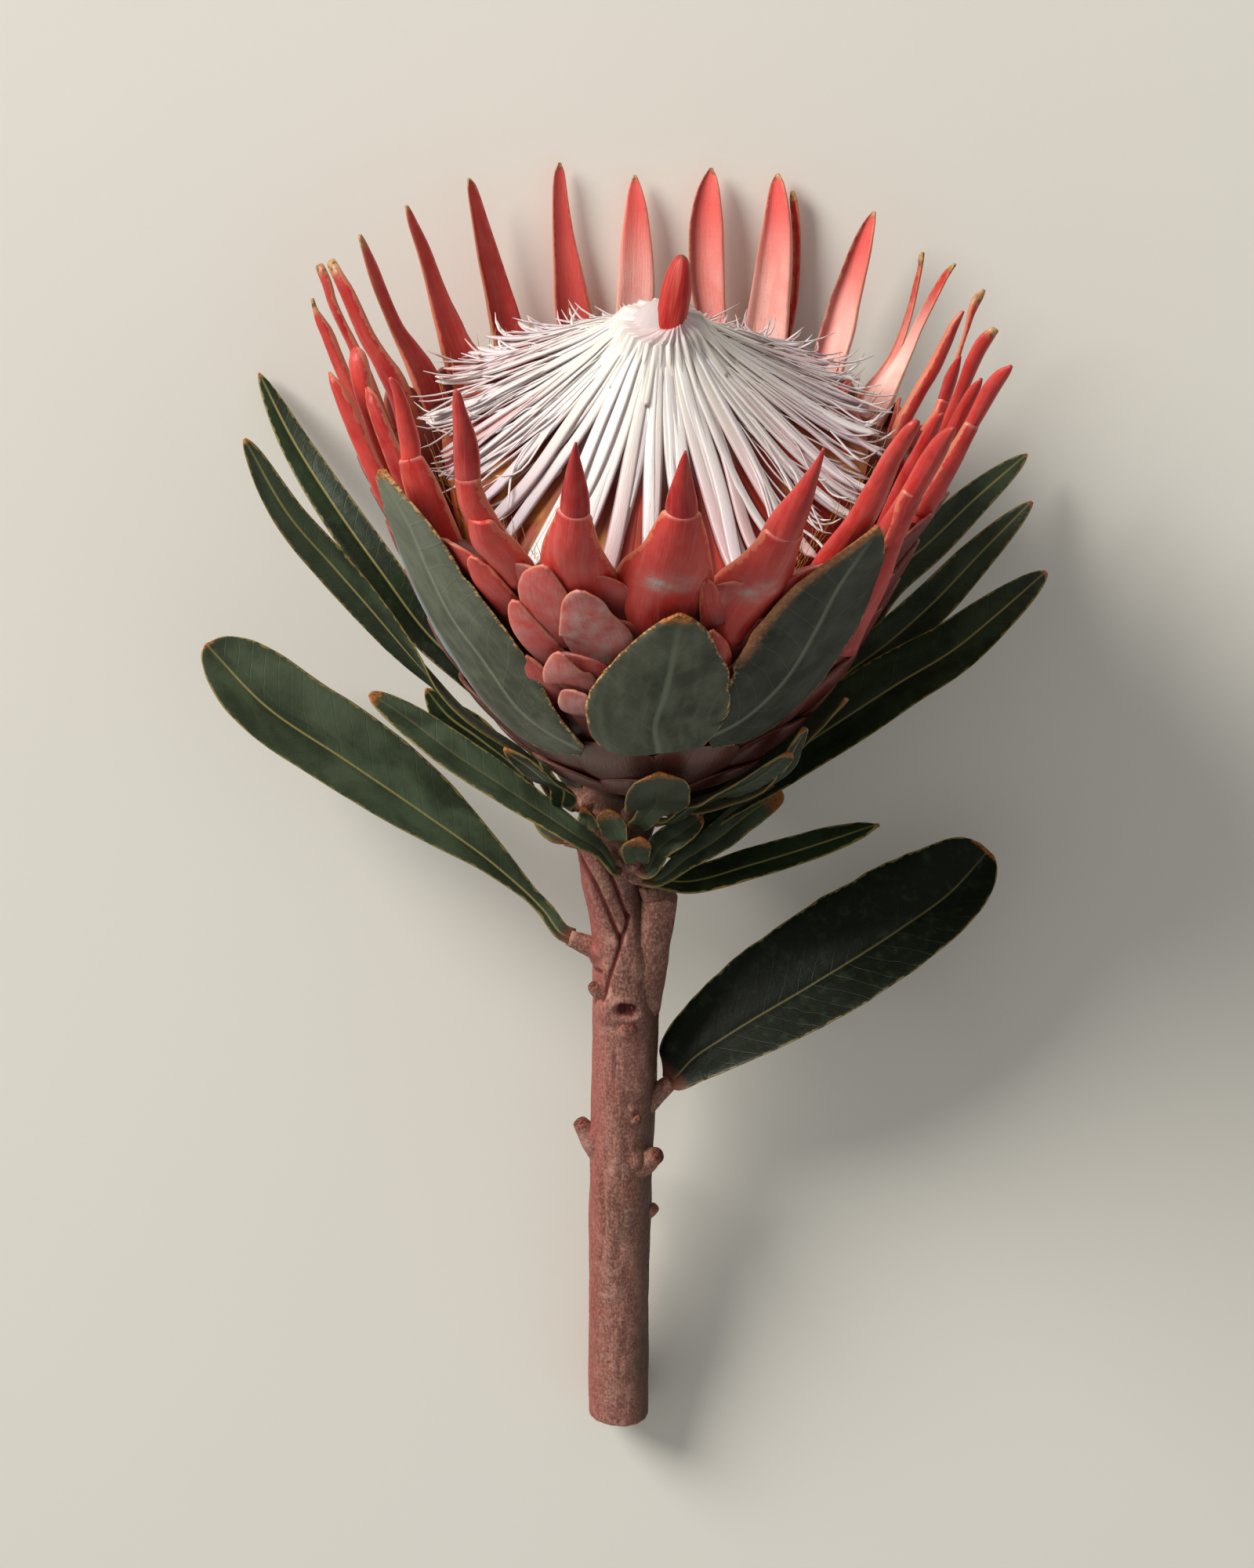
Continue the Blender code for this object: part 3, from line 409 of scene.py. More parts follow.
def makeCamera():
    made = bpy.data.objects.new("camera", bpy.data.cameras.new("camera"))
    bpy.context.scene.collection.objects.link(made)
    bpy.context.scene.camera = made
    made.data.sensor_fit = "VERTICAL"
    made.data.sensor_height = camera["sensor"]
    made.data.lens = camera["sensor"] * camera["distance"] / camera["frameTall"]
    made.data.clip_start = camera["near"]
    made.data.clip_end = camera["far"]
    aim = Vector((lie["move"][0], lie["move"][1], lie["base"][2])) * 0.001
    back = Vector(towardEye)
    sight = Matrix(((1.0, 0.0, 0.0), tuple(upWay), tuple(back))).transposed().to_4x4()
    sight.translation = aim + back * camera["distance"] * 0.001
    made.matrix_world = sight


light = {
    "from": (-0.72, 0.5, 0.62), "aim": (0.0, 0.04, 0.06), "distance": 3.0, "size": 1.5, "power": 106.0,
    "tint": "fffaf4", "sky": "e4e3e0", "skyStrength": 0.44,
}


def makeLight():
    # One soft lamp from the drawing's upper left, and an even sky.
    lamp = bpy.data.objects.new("key", bpy.data.lights.new("key", "AREA"))
    lamp.data.shape = "DISK"
    lamp.data.size = light["size"]
    lamp.data.energy = light["power"]
    lamp.data.color = colour(light["tint"])[:3]
    bpy.context.scene.collection.objects.link(lamp)
    back = Vector(turned(*light["from"]))
    lamp.matrix_world = back.to_track_quat("Z", "Y").to_matrix().to_4x4()
    lamp.location = Vector(light["aim"]) + back * light["distance"]
    world = bpy.data.worlds.new("world")
    bpy.context.scene.world = world
    world.use_nodes = True
    sky = world.node_tree.nodes["Background"].inputs
    sky[0].default_value = colour(light["sky"])
    sky[1].default_value = light["skyStrength"]
    bpy.context.scene.view_settings.view_transform = "Standard"


# A pale matt sheet under the flower.
floor = {
    "side": 6.0, "cells": 4,
    "fixed": {"Roughness": 0.85, "Specular IOR Level": 0.15},
    "tones": {"pale": "eae8e0", "mottle": "e7e5dc"},
    "clouds": {"mottle": ("object", 9.0, 3.0), "grit": ("object", 700.0, 2.0)},
    "tone": ("pale", ("mottle", "mottle")), "relief": (("grit",),), "bump": (0.05, 0.2),
}


def makeFloor():
    # A grid whose height stays at 0.
    half, cells = floor["side"] / 2, floor["cells"]
    ways = np.linspace(-half, half, cells + 1)
    x, y = np.meshgrid(ways, ways)
    points = np.stack([x.ravel(), y.ravel(), np.zeros(x.size)], axis=1)
    corner = (np.arange(cells)[:, None] * (cells + 1) + np.arange(cells)).ravel()
    faces = np.stack([corner, corner + 1, corner + cells + 2, corner + cells + 1], axis=1)
    mesh = bpy.data.meshes.new("floor")
    mesh.from_pydata(points.tolist(), [], faces.tolist())
    mesh.materials.append(makePaint("paleFloor", floor))
    sheet = bpy.data.objects.new("floor", mesh)
    bpy.context.scene.collection.objects.link(sheet)


makeCamera()
makeLight()
makeFloor()
print("camera, light and floor are in place")

# The head: a cup, its rows of scales and its ring of tall bracts.
head = {
    "bowl": ((0, 8.5), (9, 23.5), (29, 40.5), (51, 51), (69, 58), (87, 67), (110, 72)),
    "scaleRaise": 2.4, "cupBottom": 1.0, "cupRim": 72.0, "cupSides": 72, "root": 63.0,
    # Rows of short scales: height of the tips, first azimuth, count.
    "rows": (
        (76.5, -12, 24), (65, -28, 21), (53.5, -19, 18), (42, -10, 15), (30, -12, 12), (18, 0, 9),
    ),
    "scaleLength": 18.5, "hidden": 6.0, "seed": 399,
    "ownWindow": (-41.0, 30.0),  # the azimuths that the drawn scales fill
    "clear": 3.2,                # how far the bowl's own bracts stay off the surface under them
    "insideRadii": (54.0, 51.5, 48.0, 42.0, 31.0), "insideHeights": (72.6, 72.0, 61.0, 51.0, 45.5),
}
bowlCurve = smoothThrough(head["bowl"], np.linspace(0, 1, 60))


def bowlRadius(height):
    # The radius that the tips of the scales reach at a height.
    return np.interp(height, bowlCurve[:, 0], bowlCurve[:, 1])


def cupRadius(height):
    return bowlRadius(height) - head["scaleRaise"]


def surfaceRadius(azimuth, height):
    # The radius at which a ray out from the axis meets the surface under the flower.
    angle = np.radians(azimuth)
    drop = -(np.cos(angle) * frontWay[2] + np.sin(angle) * rightWay[2])
    room = headBase[2] + np.asarray(height) * axisWay[2]
    return np.where(drop > 0.05, room / np.maximum(drop, 0.05), 1e6)


def byBowl(azimuth, height, clear):
    # A point this far out from the tips of the scales.
    return onHead(float(azimuth), float(bowlRadius(height)) + clear, float(height))


def seenOnHead(x, y, clear=0.0, back=False, azimuth=None):
    # The azimuth, radius and height that the photograph shows at the pixel x, y: on the
    # bowl's own surface, or in the half plane of a known azimuth.
    x, y = (x - photo["x"]) / photo["scale"], (photo["y"] - y) / photo["scale"]
    near, height = 1.0, photo["firstHeight"]
    angle = 180.0 if back else 0.0
    for _ in range(photo["steps"]):
        if azimuth is None:
            room = float(surfaceRadius(angle, height)) - head["clear"]
            radius = min(float(bowlRadius(height)) + clear, room)
            sine = (x * near - headBase[0] - height * axisWay[0]) / (radius * rightWay[0])
            sine = min(max(sine, -1.0), 1.0)
            cosine = math.sqrt(1 - sine * sine) * (-1 if back else 1)
            angle = math.degrees(math.atan2(sine, cosine))
        else:
            sine, cosine = math.sin(math.radians(azimuth)), math.cos(math.radians(azimuth))
            radius = (x * near - headBase[0] - height * axisWay[0]) / (sine * rightWay[0])
        spoke = cosine * frontWay + sine * rightWay
        goal = (y * near - radius * (spoke @ upWay)) / (axisWay @ upWay)
        height = 0.5 * height + 0.5 * goal
        depth = height * (axisWay @ towardEye) + radius * (spoke @ towardEye)
        near = (lie["eye"] - depth) / lie["eye"]
    return math.degrees(math.atan2(sine, cosine)), radius, height


# light paints a bract lighter where the light falls and, below 0, darker where it is shaded.
greenBracts = {
    "green_bract_left": {
        "route": ((-19, 27), (-35, 35), (-42, 46), (-49, 56), (-52, 67), (-51, 79), (-53, 90)),
        "widths": (5, 21, 24, 28, 26, 16, 2), "rim": 0.75, "sheen": -1.0, "notch": 0.9,
        "light": 0.22,
    },
    "green_bract_front": {
        "route": ((3, 30), (1.5, 38), (3, 47), (4, 57), (4.5, 65), (4.5, 69.5)),
        "widths": (21, 28.4, 29.6, 29.2, 27.8, 25.6, 22.4, 18.6, 14.2, 9.4, 3), "lift": 2.0, "rim": 0.6,
        "lobes": 0.07, "notch": 1.0, "light": 0.12,
    },
    "green_bract_right": {
        "route": ((16, 33), (25, 38), (32, 46), (36, 59), (38, 73), (40, 86)),
        "widths": (8, 23, 29, 27, 19, 2), "rim": 0.8, "notch": 0.6,
        "broadRim": 2.6, "light": -0.6,
    },
    "green_bract_side_right": {
        "route": ((126, 18), (129, 30), (131, 42), (132, 54), (133, 64)),
        "widths": (8, 20, 23, 17, 2), "rim": 0.8, "notch": 0.7,
    },
    "green_bract_side_left": {
        "route": ((-122, 18), (-121, 30), (-119, 42), (-118, 56), (-117, 68)),
        "widths": (8, 22, 26, 18, 2), "rim": 0.8, "notch": 0.7,
    },
    "green_bract_back": {
        "route": ((176, 14), (176, 22), (177, 30), (178, 38)),
        "widths": (8, 20, 22, 4), "rim": 0.7, "notch": 0.4,
    },
}


def underBract(azimuth, height):
    # Whether a green bract covers this place on the bowl.
    for bract in greenBracts.values():
        places = np.linspace(0, 1, 20)
        middle = smoothThrough(bract["route"], places)
        half = np.interp(places, np.linspace(0, 1, len(bract["widths"])), bract["widths"]) / 2
        turn = (middle[:, 0] - azimuth + 180) % 360 - 180
        across = np.radians(turn) * bowlRadius(height)
        if (np.hypot(across, middle[:, 1] - height) < half - head["hidden"]).any():
            return True
    return False


# The tall bracts as the photograph shows them: pixel x, y and width in pixels from the tip
# down. thick is the depth as a share of the width, dry the length of the dried tip in
# millimetres, and lip marks a body whose end is the rim that a cone stands in.
tallBracts = {
    # On the back bracts, dark curls the right edge in and paints shade on that fold.
    "back": {
        # Their paler feet and brighter red on the right, against deeper red on the left, are partly painted
        # light and shade.
        "farLeft": dict(deep=0.5, dry=4.0, tint=-0.8, route=(
            (457, 300, 5), (461, 312, 12), (476, 357, 21), (490, 392, 21), (503, 422, 23),
            (516, 447, 32), (531, 480, 46), (546, 520, 52))),
        "left": dict(deep=0.35, dry=1.0, tint=-0.8, route=(
            (517, 262, 4), (521, 276, 12), (537, 320, 21), (548, 357, 26), (557, 389, 33),
            (566, 418, 42), (573, 442, 48), (583, 463, 56), (595, 485, 66))),
        "backLeft": dict(deep=0.2, dry=1.2, dark=0.8, route=(
            (597, 227, 4), (599, 238, 15), (608, 284, 26), (616, 322, 34), (625, 360, 40),
            (636, 412, 50))),
        "backMiddleLeft": dict(deep=0.1, dry=1.2, dark=0.5, tint=0.6, route=(
            (713, 207, 4), (712, 222, 16), (713, 265, 24), (716, 305, 31), (720, 341, 39),
            (724, 378, 47), (730, 418, 51))),
        "backMiddle": dict(deep=0.1, pale=0.8, dry=1.2, tint=1.0, route=(
            (810, 223, 4), (810, 238, 16), (811, 262, 27), (811, 293, 36), (811, 331, 44),
            (810, 370, 49), (808, 410, 50))),
        "backMiddleRight": dict(deep=0.1, pale=0.5, dry=1.2, dark=0.9, tint=1.0, route=(
            (908, 214, 4), (907, 226, 18), (905, 248, 32), (904, 294, 44), (905, 338, 45),
            (908, 378, 41), (912, 412, 37))),
        "backRight": dict(deep=0.1, pale=0.8, dry=1.2, dark=0.5, tint=0.9, route=(
            (993, 221, 4), (994, 233, 18), (996, 275, 34), (994, 322, 45), (990, 369, 51),
            (985, 415, 57))),
        "backRightThin": dict(deep=0.7, dry=3.0, clear=2.2, route=(
            (1012, 243, 5), (1014, 256, 11), (1017, 285, 12), (1018, 330, 11), (1015, 380, 10))),
        "right": dict(deep=0.1, pale=0.7, dry=1.0, dark=1.0, tint=0.7, route=(
            (1117, 270, 4), (1113, 284, 15), (1104, 320, 28), (1096, 350, 33), (1087, 385, 39),
            (1081, 415, 43), (1071, 450, 44), (1061, 490, 44))),
        "farRightThin": dict(deep=0.3, pale=0.5, dry=4.0, dark=0.5, route=(
            (1179, 322, 5), (1178, 329, 8), (1177, 337, 6), (1172, 361, 8), (1164, 396, 10),
            (1156, 422, 12), (1143, 455, 14), (1129, 478, 16), (1112, 503, 20))),
        "farRight": dict(deep=0.25, pale=0.9, dry=3.0, clear=-1.0, route=(
            (1220, 337, 4), (1211, 348, 10), (1199, 369, 14), (1187, 392, 16), (1176, 414, 17),
            (1164, 443, 20), (1152, 470, 27), (1141, 494, 38), (1127, 522, 50))),
        "innerRight": dict(deep=0.1, pale=0.5, clear=-4.0, route=(
            (1088, 482, 4), (1082, 492, 12), (1074, 506, 20), (1066, 522, 24))),
        "innerFarRight": dict(deep=0.2, pale=0.5, clear=-3.0, route=(
            (1150, 508, 4), (1147, 522, 10), (1143, 545, 18), (1138, 565, 22))),
    },
    "side": {
        "curled": dict(azimuth=(108, 104), thick=0.5, deep=0.3, dry=5.0, route=(
            (1257, 370, 4), (1250, 381, 13), (1242, 398, 11), (1236, 418, 7), (1229, 439, 5),
            (1222, 462, 7), (1210, 500, 12))),
        "redLong": dict(azimuth=(100, 96), thick=0.6, deep=0.55, route=(
            (1230, 397, 4), (1221, 414, 12), (1213, 433, 15), (1203, 455, 17), (1193, 475, 18),
            (1180, 496, 18), (1168, 518, 18), (1158, 536, 20))),
        "rightCone": dict(azimuth=(92, 92), thick=0.8, deep=0.6, route=(
            (1226, 455, 4), (1222, 470, 13), (1216, 490, 18), (1209, 511, 17))),
        "rightConeBody": dict(azimuth=(92, 90), thick=0.6, deep=0.4, lip=1.0, route=(
            (1208, 511, 16), (1200, 530, 17), (1190, 556, 20))),
        "cut": dict(azimuth=(84, 84), thick=0.7, deep=0.35, dry=2.0, route=(
            (1271, 422, 10), (1266, 428, 15), (1256, 443, 20), (1244, 467, 20), (1235, 489, 18),
            (1226, 510, 17))),
        "short": dict(azimuth=(74, 74), thick=0.7, deep=0.5, route=(
            (1253, 484, 4), (1248, 495, 13), (1241, 510, 18), (1233, 525, 19), (1223, 546, 20),
            (1213, 570, 22))),
        "outer": dict(azimuth=(70, 70), thick=0.8, deep=0.3, clear=2.0, route=(
            (1291, 468, 4), (1286, 475, 12), (1279, 484, 18), (1266, 504, 22), (1256, 522, 21),
            (1244, 543, 19))),
        "outerBody": dict(azimuth=(69, 66), thick=0.5, deep=0.5, lip=1.0, route=(
            (1243, 544, 19), (1233, 562, 21), (1218, 590, 25), (1200, 625, 28), (1180, 665, 30))),
        "bright": dict(azimuth=(56, 56), thick=0.8, deep=0.7, route=(
            (1203, 529, 5), (1199, 537, 12), (1190, 556, 19), (1179, 580, 21), (1166, 604, 22),
            (1152, 635, 24))),
        "nearRight": dict(azimuth=(50, 49), thick=0.85, deep=0.5, route=(
            (1218, 547, 5), (1212, 556, 15), (1200, 578, 25), (1185, 604, 28), (1169, 632, 27))),
        "nearRightBody": dict(azimuth=(49, 50), thick=0.4, deep=0.5, lip=1.0, sink=2.0, route=(
            (1168, 633, 27), (1159, 652, 29), (1149, 676, 27), (1139, 700, 26), (1122, 745, 34),
            (1100, 800, 44), (1080, 850, 44))),
        "slimRight": dict(azimuth=(42, 39), thick=0.7, deep=0.35, sink=3.5, route=(
            (1172, 536, 7), (1168, 543, 14), (1154, 566, 21), (1141, 587, 24), (1127, 618, 28),
            (1112, 650, 33))),
        "cutLeft": dict(azimuth=(-104, -100), thick=0.45, deep=0.7, dry=2.5, route=(
            (405, 338, 11), (408, 346, 13), (414, 361, 14), (421, 385, 13), (433, 412, 13),
            (447, 440, 14), (462, 480, 20))),
        "tornLeft": dict(azimuth=(-114, -108), thick=0.4, deep=0.8, dry=5.0, tint=-0.6, route=(
            (419, 333, 13), (422, 339, 15), (428, 351, 16), (439, 373, 20), (451, 401, 22),
            (464, 430, 23), (479, 455, 24), (496, 486, 32))),
        "thinLeft": dict(azimuth=(-92, -88), thick=0.5, deep=0.3, dry=4.0, route=(
            (397, 381, 4), (400, 393, 6), (405, 407, 12), (414, 426, 17), (423, 450, 18), (433, 474, 18),
            (446, 505, 20))),
        "curlLeft": dict(azimuth=(-80, -70), thick=0.6, deep=0.25, route=(
            (448, 446, 15), (450, 452, 22), (453, 470, 26), (459, 500, 24), (469, 532, 22),
            (480, 565, 24), (494, 604, 30))),
        "scoopLeft": dict(azimuth=(-72, -62), thick=0.5, deep=0.75, route=(
            (467, 494, 6), (471, 508, 16), (480, 535, 20), (492, 566, 22), (506, 600, 26))),
        "budLeft": dict(azimuth=(-76, -66), thick=0.6, deep=0.2, clear=1.5, route=(
            (419, 475, 4), (422, 483, 10), (431, 503, 18), (444, 534, 23), (457, 565, 23),
            (470, 594, 22), (488, 632, 28))),
        "coneLeft": dict(azimuth=(-56, -54), thick=0.8, deep=0.1, route=(
            (497, 483, 4), (502, 492, 11), (508, 512, 16), (514, 545, 23), (519, 572, 26),
            (520, 586, 25))),
        "coneLeftBody": dict(azimuth=(-54, -48), thick=0.35, deep=0.25, lip=1.0, route=(
            (520, 587, 30), (531, 618, 42), (545, 655, 46), (560, 690, 44), (576, 725, 40))),
    },
    "front": {
        "one": dict(thick=0.8, deep=0.75, route=(
            (580, 498, 5), (580, 504, 11), (581, 524, 17), (583, 545, 24), (585, 570, 31),
            (586, 595, 34), (587, 613, 33))),
        "oneBody": dict(thick=0.4, deep=0.25, lip=1.0, route=(
            (588, 614, 33), (594, 642, 40), (603, 668, 46), (615, 700, 50))),
        "oneLobe": dict(thick=0.3, deep=0.05, clear=0.6, lip=0.7, route=(
            (606, 668, 34), (613, 690, 50), (627, 712, 62), (640, 735, 62), (652, 758, 50))),
        "two": dict(thick=0.85, deep=0.85, route=(
            (734, 566, 3), (732.5, 580, 9), (731, 600, 18), (730, 622, 27), (729, 645, 34),
            (728.5, 660, 36))),
        "twoBody": dict(thick=0.3, deep=0.2, lip=1.0, route=(
            (728.5, 661, 40), (726.5, 685, 54), (725, 708, 70), (727, 730, 85), (733, 756, 96),
            (738, 780, 98), (744, 815, 80))),
        "three": dict(thick=0.85, deep=0.85, route=(
            (874.5, 577, 3), (873.5, 590, 10), (872.5, 610, 19), (871.5, 632, 29), (871, 648, 36),
            (871, 661, 39))),
        "threeBody": dict(thick=0.3, deep=0.25, lip=1.0, smudge=(848, 746), route=(
            (870.5, 662, 43), (867, 690, 64), (863, 716, 80), (856, 737, 99), (850, 752, 113),
            (845, 770, 119), (844, 790, 110), (847, 812, 92), (850, 840, 70))),
        "four": dict(thick=0.8, deep=0.55, route=(
            (1052, 573, 3), (1047, 590, 9), (1039, 612, 18), (1029, 640, 30), (1017, 668, 42),
            (1008, 688, 47))),
        "fourBody": dict(thick=0.3, deep=0.25, lip=1.0, smudge=(968, 756), route=(
            (1007, 690, 50), (990, 722, 68), (974, 749, 90), (957, 774, 98), (944, 802, 76),
            (935, 830, 42))),
    },
}
# The short scales in front, in the same way, with how far each stands over the ones above it.
frontScales = {
    "underTwo": dict(clear=0.8, deep=0.0, bloom=0.6, route=(
        (694, 724, 8), (693, 733, 34), (692, 748, 60), (694, 768, 72), (700, 800, 66), (712, 834, 46))),
    "round": dict(clear=1.7, deep=0.0, bloom=1.1, mauve=0.3, route=(
        (740, 756, 12), (741, 762, 34), (744, 773, 54), (747, 786, 64), (754, 806, 82), (759, 822, 92),
        (758, 840, 84), (757, 862, 56))),
    "long": dict(clear=1.2, deep=0.05, bloom=0.7, route=(
        (656, 768, 10), (658, 776, 24), (664, 792, 36), (676, 812, 43), (690, 834, 46), (706, 860, 44))),
    "small": dict(clear=2.1, deep=0.1, bloom=0.9, mauve=0.2, route=(
        (715, 835, 10), (714, 841, 24), (715, 851, 40), (719, 864, 58), (726, 877, 68), (727, 890, 58),
        (727, 905, 40))),
    "smallest": dict(clear=2.6, deep=0.2, bloom=0.9, mauve=0.55, route=(
        (738, 885, 16), (737, 891, 46), (739, 904, 56), (744, 920, 50), (750, 938, 36))),
    "leftMost": dict(clear=0.9, deep=0.25, bloom=0.15, route=(
        (603, 713, 12), (606, 720, 28), (614, 733, 40), (626, 753, 46), (638, 774, 46), (650, 795, 40))),
    "besideLeaf": dict(clear=0.9, deep=0.3, bloom=0.3, mauve=0.3, route=(
        (668, 838, 8), (673, 846, 22), (684, 862, 32), (698, 884, 34), (712, 906, 30))),
    "between": dict(clear=0.9, deep=0.35, bloom=0.2, route=(
        (909, 806, 6), (912, 816, 18), (917, 832, 30), (922, 850, 32), (926, 872, 28))),
    "rightOfThree": dict(clear=-1.2, deep=0.5, bloom=0.1, route=(
        (901, 742, 8), (904, 752, 20), (908, 772, 30), (912, 800, 34))),
}


bladeForm = {
    "rows": 26, "scaleRows": 22, "crowd": 1.35, "thick": 0.3, "leastDepth": 0.7, "mostDepth": 2.6,
    "crown": 0.3, "frontCrown": 1.35,
    # From this thickness on it is a cone, round in section.
    "cone": 0.65, "coneDepth": 9.0, "coneCrown": 0.1,
    # The foot that is added where the photograph hides it.
    "footAbove": 4.0, "footInside": 2.6, "footWidth": 11.0, "footGrowth": 1.15,
    "scaleDepth": ((0, 0.3, 1), (0.7, 1.15, 1.0)),
    # The least height of its outer and its inner face over the surface.
    "floor": 0.3, "underside": 1.0,
}


def seenBlade(plan, azimuthMode, chance, rows=bladeForm["rows"]):
    # A bract along the pixels of its route. Each ring's points are the route's, plus the half
    # width times the place across, less crown times its square, plus the depth on each face.
    route = np.array(plan["route"], float)
    clear = plan.get("clear", 0.0)
    spots = []
    for k, (x, y, _) in enumerate(route):
        azimuth = None
        if "azimuth" in plan:
            first, last = plan["azimuth"]
            azimuth = first + (last - first) * k / (len(route) - 1)
        spots.append(seenOnHead(x, y, clear, azimuthMode == "back", azimuth))
    widths = route[:, 2] / photo["scale"]
    isScale = azimuthMode == "scale"
    if not isScale and "lip" not in plan and spots[-1][2] > head["root"] + bladeForm["footAbove"]:
        inside = float(bowlRadius(head["root"])) - bladeForm["footInside"]
        spots.append((spots[-1][0], inside, head["root"]))
        widths = np.append(widths, min(bladeForm["footWidth"], widths[-1] * bladeForm["footGrowth"]))
    spots = np.array(spots)
    points = onHead(*spots.T)
    gaps = np.linalg.norm(np.diff(points, axis=0), axis=1)
    knots = np.concatenate([[0.0], np.cumsum(gaps)]) / gaps.sum()
    places = np.linspace(0, 1, rows) ** bladeForm["crowd"]
    middle = smoothThrough(points, places)
    azimuths = np.interp(places, knots, np.unwrap(spots[:, 0], period=360))
    half = easeThrough(places, knots, widths) / 2
    fromTip = places * gaps.sum()
    lip = plan.get("lip", 0.0)
    if lip:
        half = half * (1 - 0.1 * np.exp(-fromTip / 0.25))
        half = half * (1 + 0.035 * np.exp(-((fromTip - 0.9) / 0.7) ** 2))
    out = outward(azimuths)
    if azimuthMode == "side":
        out = unit(out * 0.45 + towardEye * 0.75)
    along = unit(np.gradient(middle, axis=0))
    side = unit(np.cross(out, along))
    out = np.cross(along, side)
    across, face, body = bladeRing(evenSpots(8))
    thick = plan.get("thick", bladeForm["thick"])
    isCone = thick >= bladeForm["cone"]
    most = bladeForm["coneDepth"] if isCone else bladeForm["mostDepth"]
    depth = np.clip(2 * half * thick, bladeForm["leastDepth"], most)
    rounded = np.sqrt(np.maximum(1 - across**2, 0)) if isCone else body
    crown = (bladeForm["coneCrown"] if isCone else bladeForm["crown"]) * half
    crown = crown * (bladeForm["frontCrown"] if azimuthMode == "front" else 1.0)
    if isScale:
        depth = easeThrough(places, *bladeForm["scaleDepth"])
        crown = 0.05 * half + 0.1
    lift = np.zeros(rows)
    if isScale or "Body" in plan["name"] or "Lobe" in plan["name"]:
        lift = -(1.0 + clear) * soften(places, 0.3, 1.0) + 0.25 * np.sin(places * math.pi)
    lift = lift - plan.get("sink", 0.0) * soften(places, 0.45, 0.9)
    bend = (lift - depth / 2)[:, None] - crown[:, None] * across**2
    if azimuthMode == "back":
        bend = bend - 0.5 * half[:, None] * soften(across, 0.45, 1.0) * plan.get("dark", 0.0)
    offset = bend + depth[:, None] / 2 * face * rounded
    aside = (half[:, None] * across)[..., None] * side[:, None]
    rowsAt = middle[:, None] + aside + offset[..., None] * out[:, None]
    lowest = np.where(face > 0, bladeForm["floor"], bladeForm["underside"])
    rowsAt[..., 2] = np.maximum(rowsAt[..., 2], lowest)
    dry = plan.get("dry", 0.0)
    dried = (1 - soften(fromTip, 0.35 * dry, dry + 0.3)) if dry else np.zeros(rows)
    pale = plan.get("pale", 0.0) * soften(fromTip, 5, 27)
    bloom = plan.get("bloom", 0.12)
    if "smudge" in plan:
        gap = rowsAt - onHead(*seenOnHead(*plan["smudge"], clear))
        sideways = gap @ rightWay
        rest = (gap**2).sum(axis=-1) - sideways**2
        bloom = bloom + 2.0 * np.exp(-(sideways / 5.5) ** 2 - rest / 2.3**2)
    root = soften(fromTip, 0.55 * gaps.sum(), gaps.sum()) * (0.9 if isScale else 0.3)
    deep = plan.get("deep", 0.3) + 0.12 * (1 - soften(fromTip, 2, 9))
    grain = triple(half[:, None] * across, fromTip[:, None], chance * 40)
    stands = isCone and azimuthMode != "back"
    if stands:
        root = 0.75 * soften(fromTip, fromTip[-1] - 1.0, fromTip[-1] - 0.1)
    # A cone has no rim, so its distance from the edge is made large.
    margin = half[:, None] * (1 - np.abs(across)) + 9.0 * stands
    edge = triple(margin, fromTip[:, None] + 3 * (1 - lip), face)
    tone = triple(bloom, dried[:, None], pale[:, None])
    shade = triple(plan.get("mauve", 0.0), deep[:, None], root[:, None])
    # Its second value, dark, paints shade on the right-hand fold of a back bract.
    lane = triple(across, plan.get("dark", 0.0), plan.get("tint", 0.0))
    return closedSkin(rowsAt, grain=grain, edge=edge, tone=tone, shade=shade, lane=lane)


scaleForm = {
    "share": (0, 0.18, 0.35, 0.5, 0.62, 0.72, 0.8, 0.86, 0.91, 0.95, 0.98, 0.995, 1.0),
    "swell": ((0, 0.35, 0.6, 1), (0.8, 0.96, 1.0, 1.0)), "arcFrom": 0.55, "arcSpan": 0.455, "arcPower": 2.5,
    "lift": ((0, 0.4, 0.75, 1), (-0.1, 0.55, 0.95, 1.0)), "belly": 0.15,
    "depth": ((0, 0.6, 1), (1.5, 2.6, 1.1)), "crown": ((0, 0.5, 1), (0.4, 1.1, 0.3)),
}


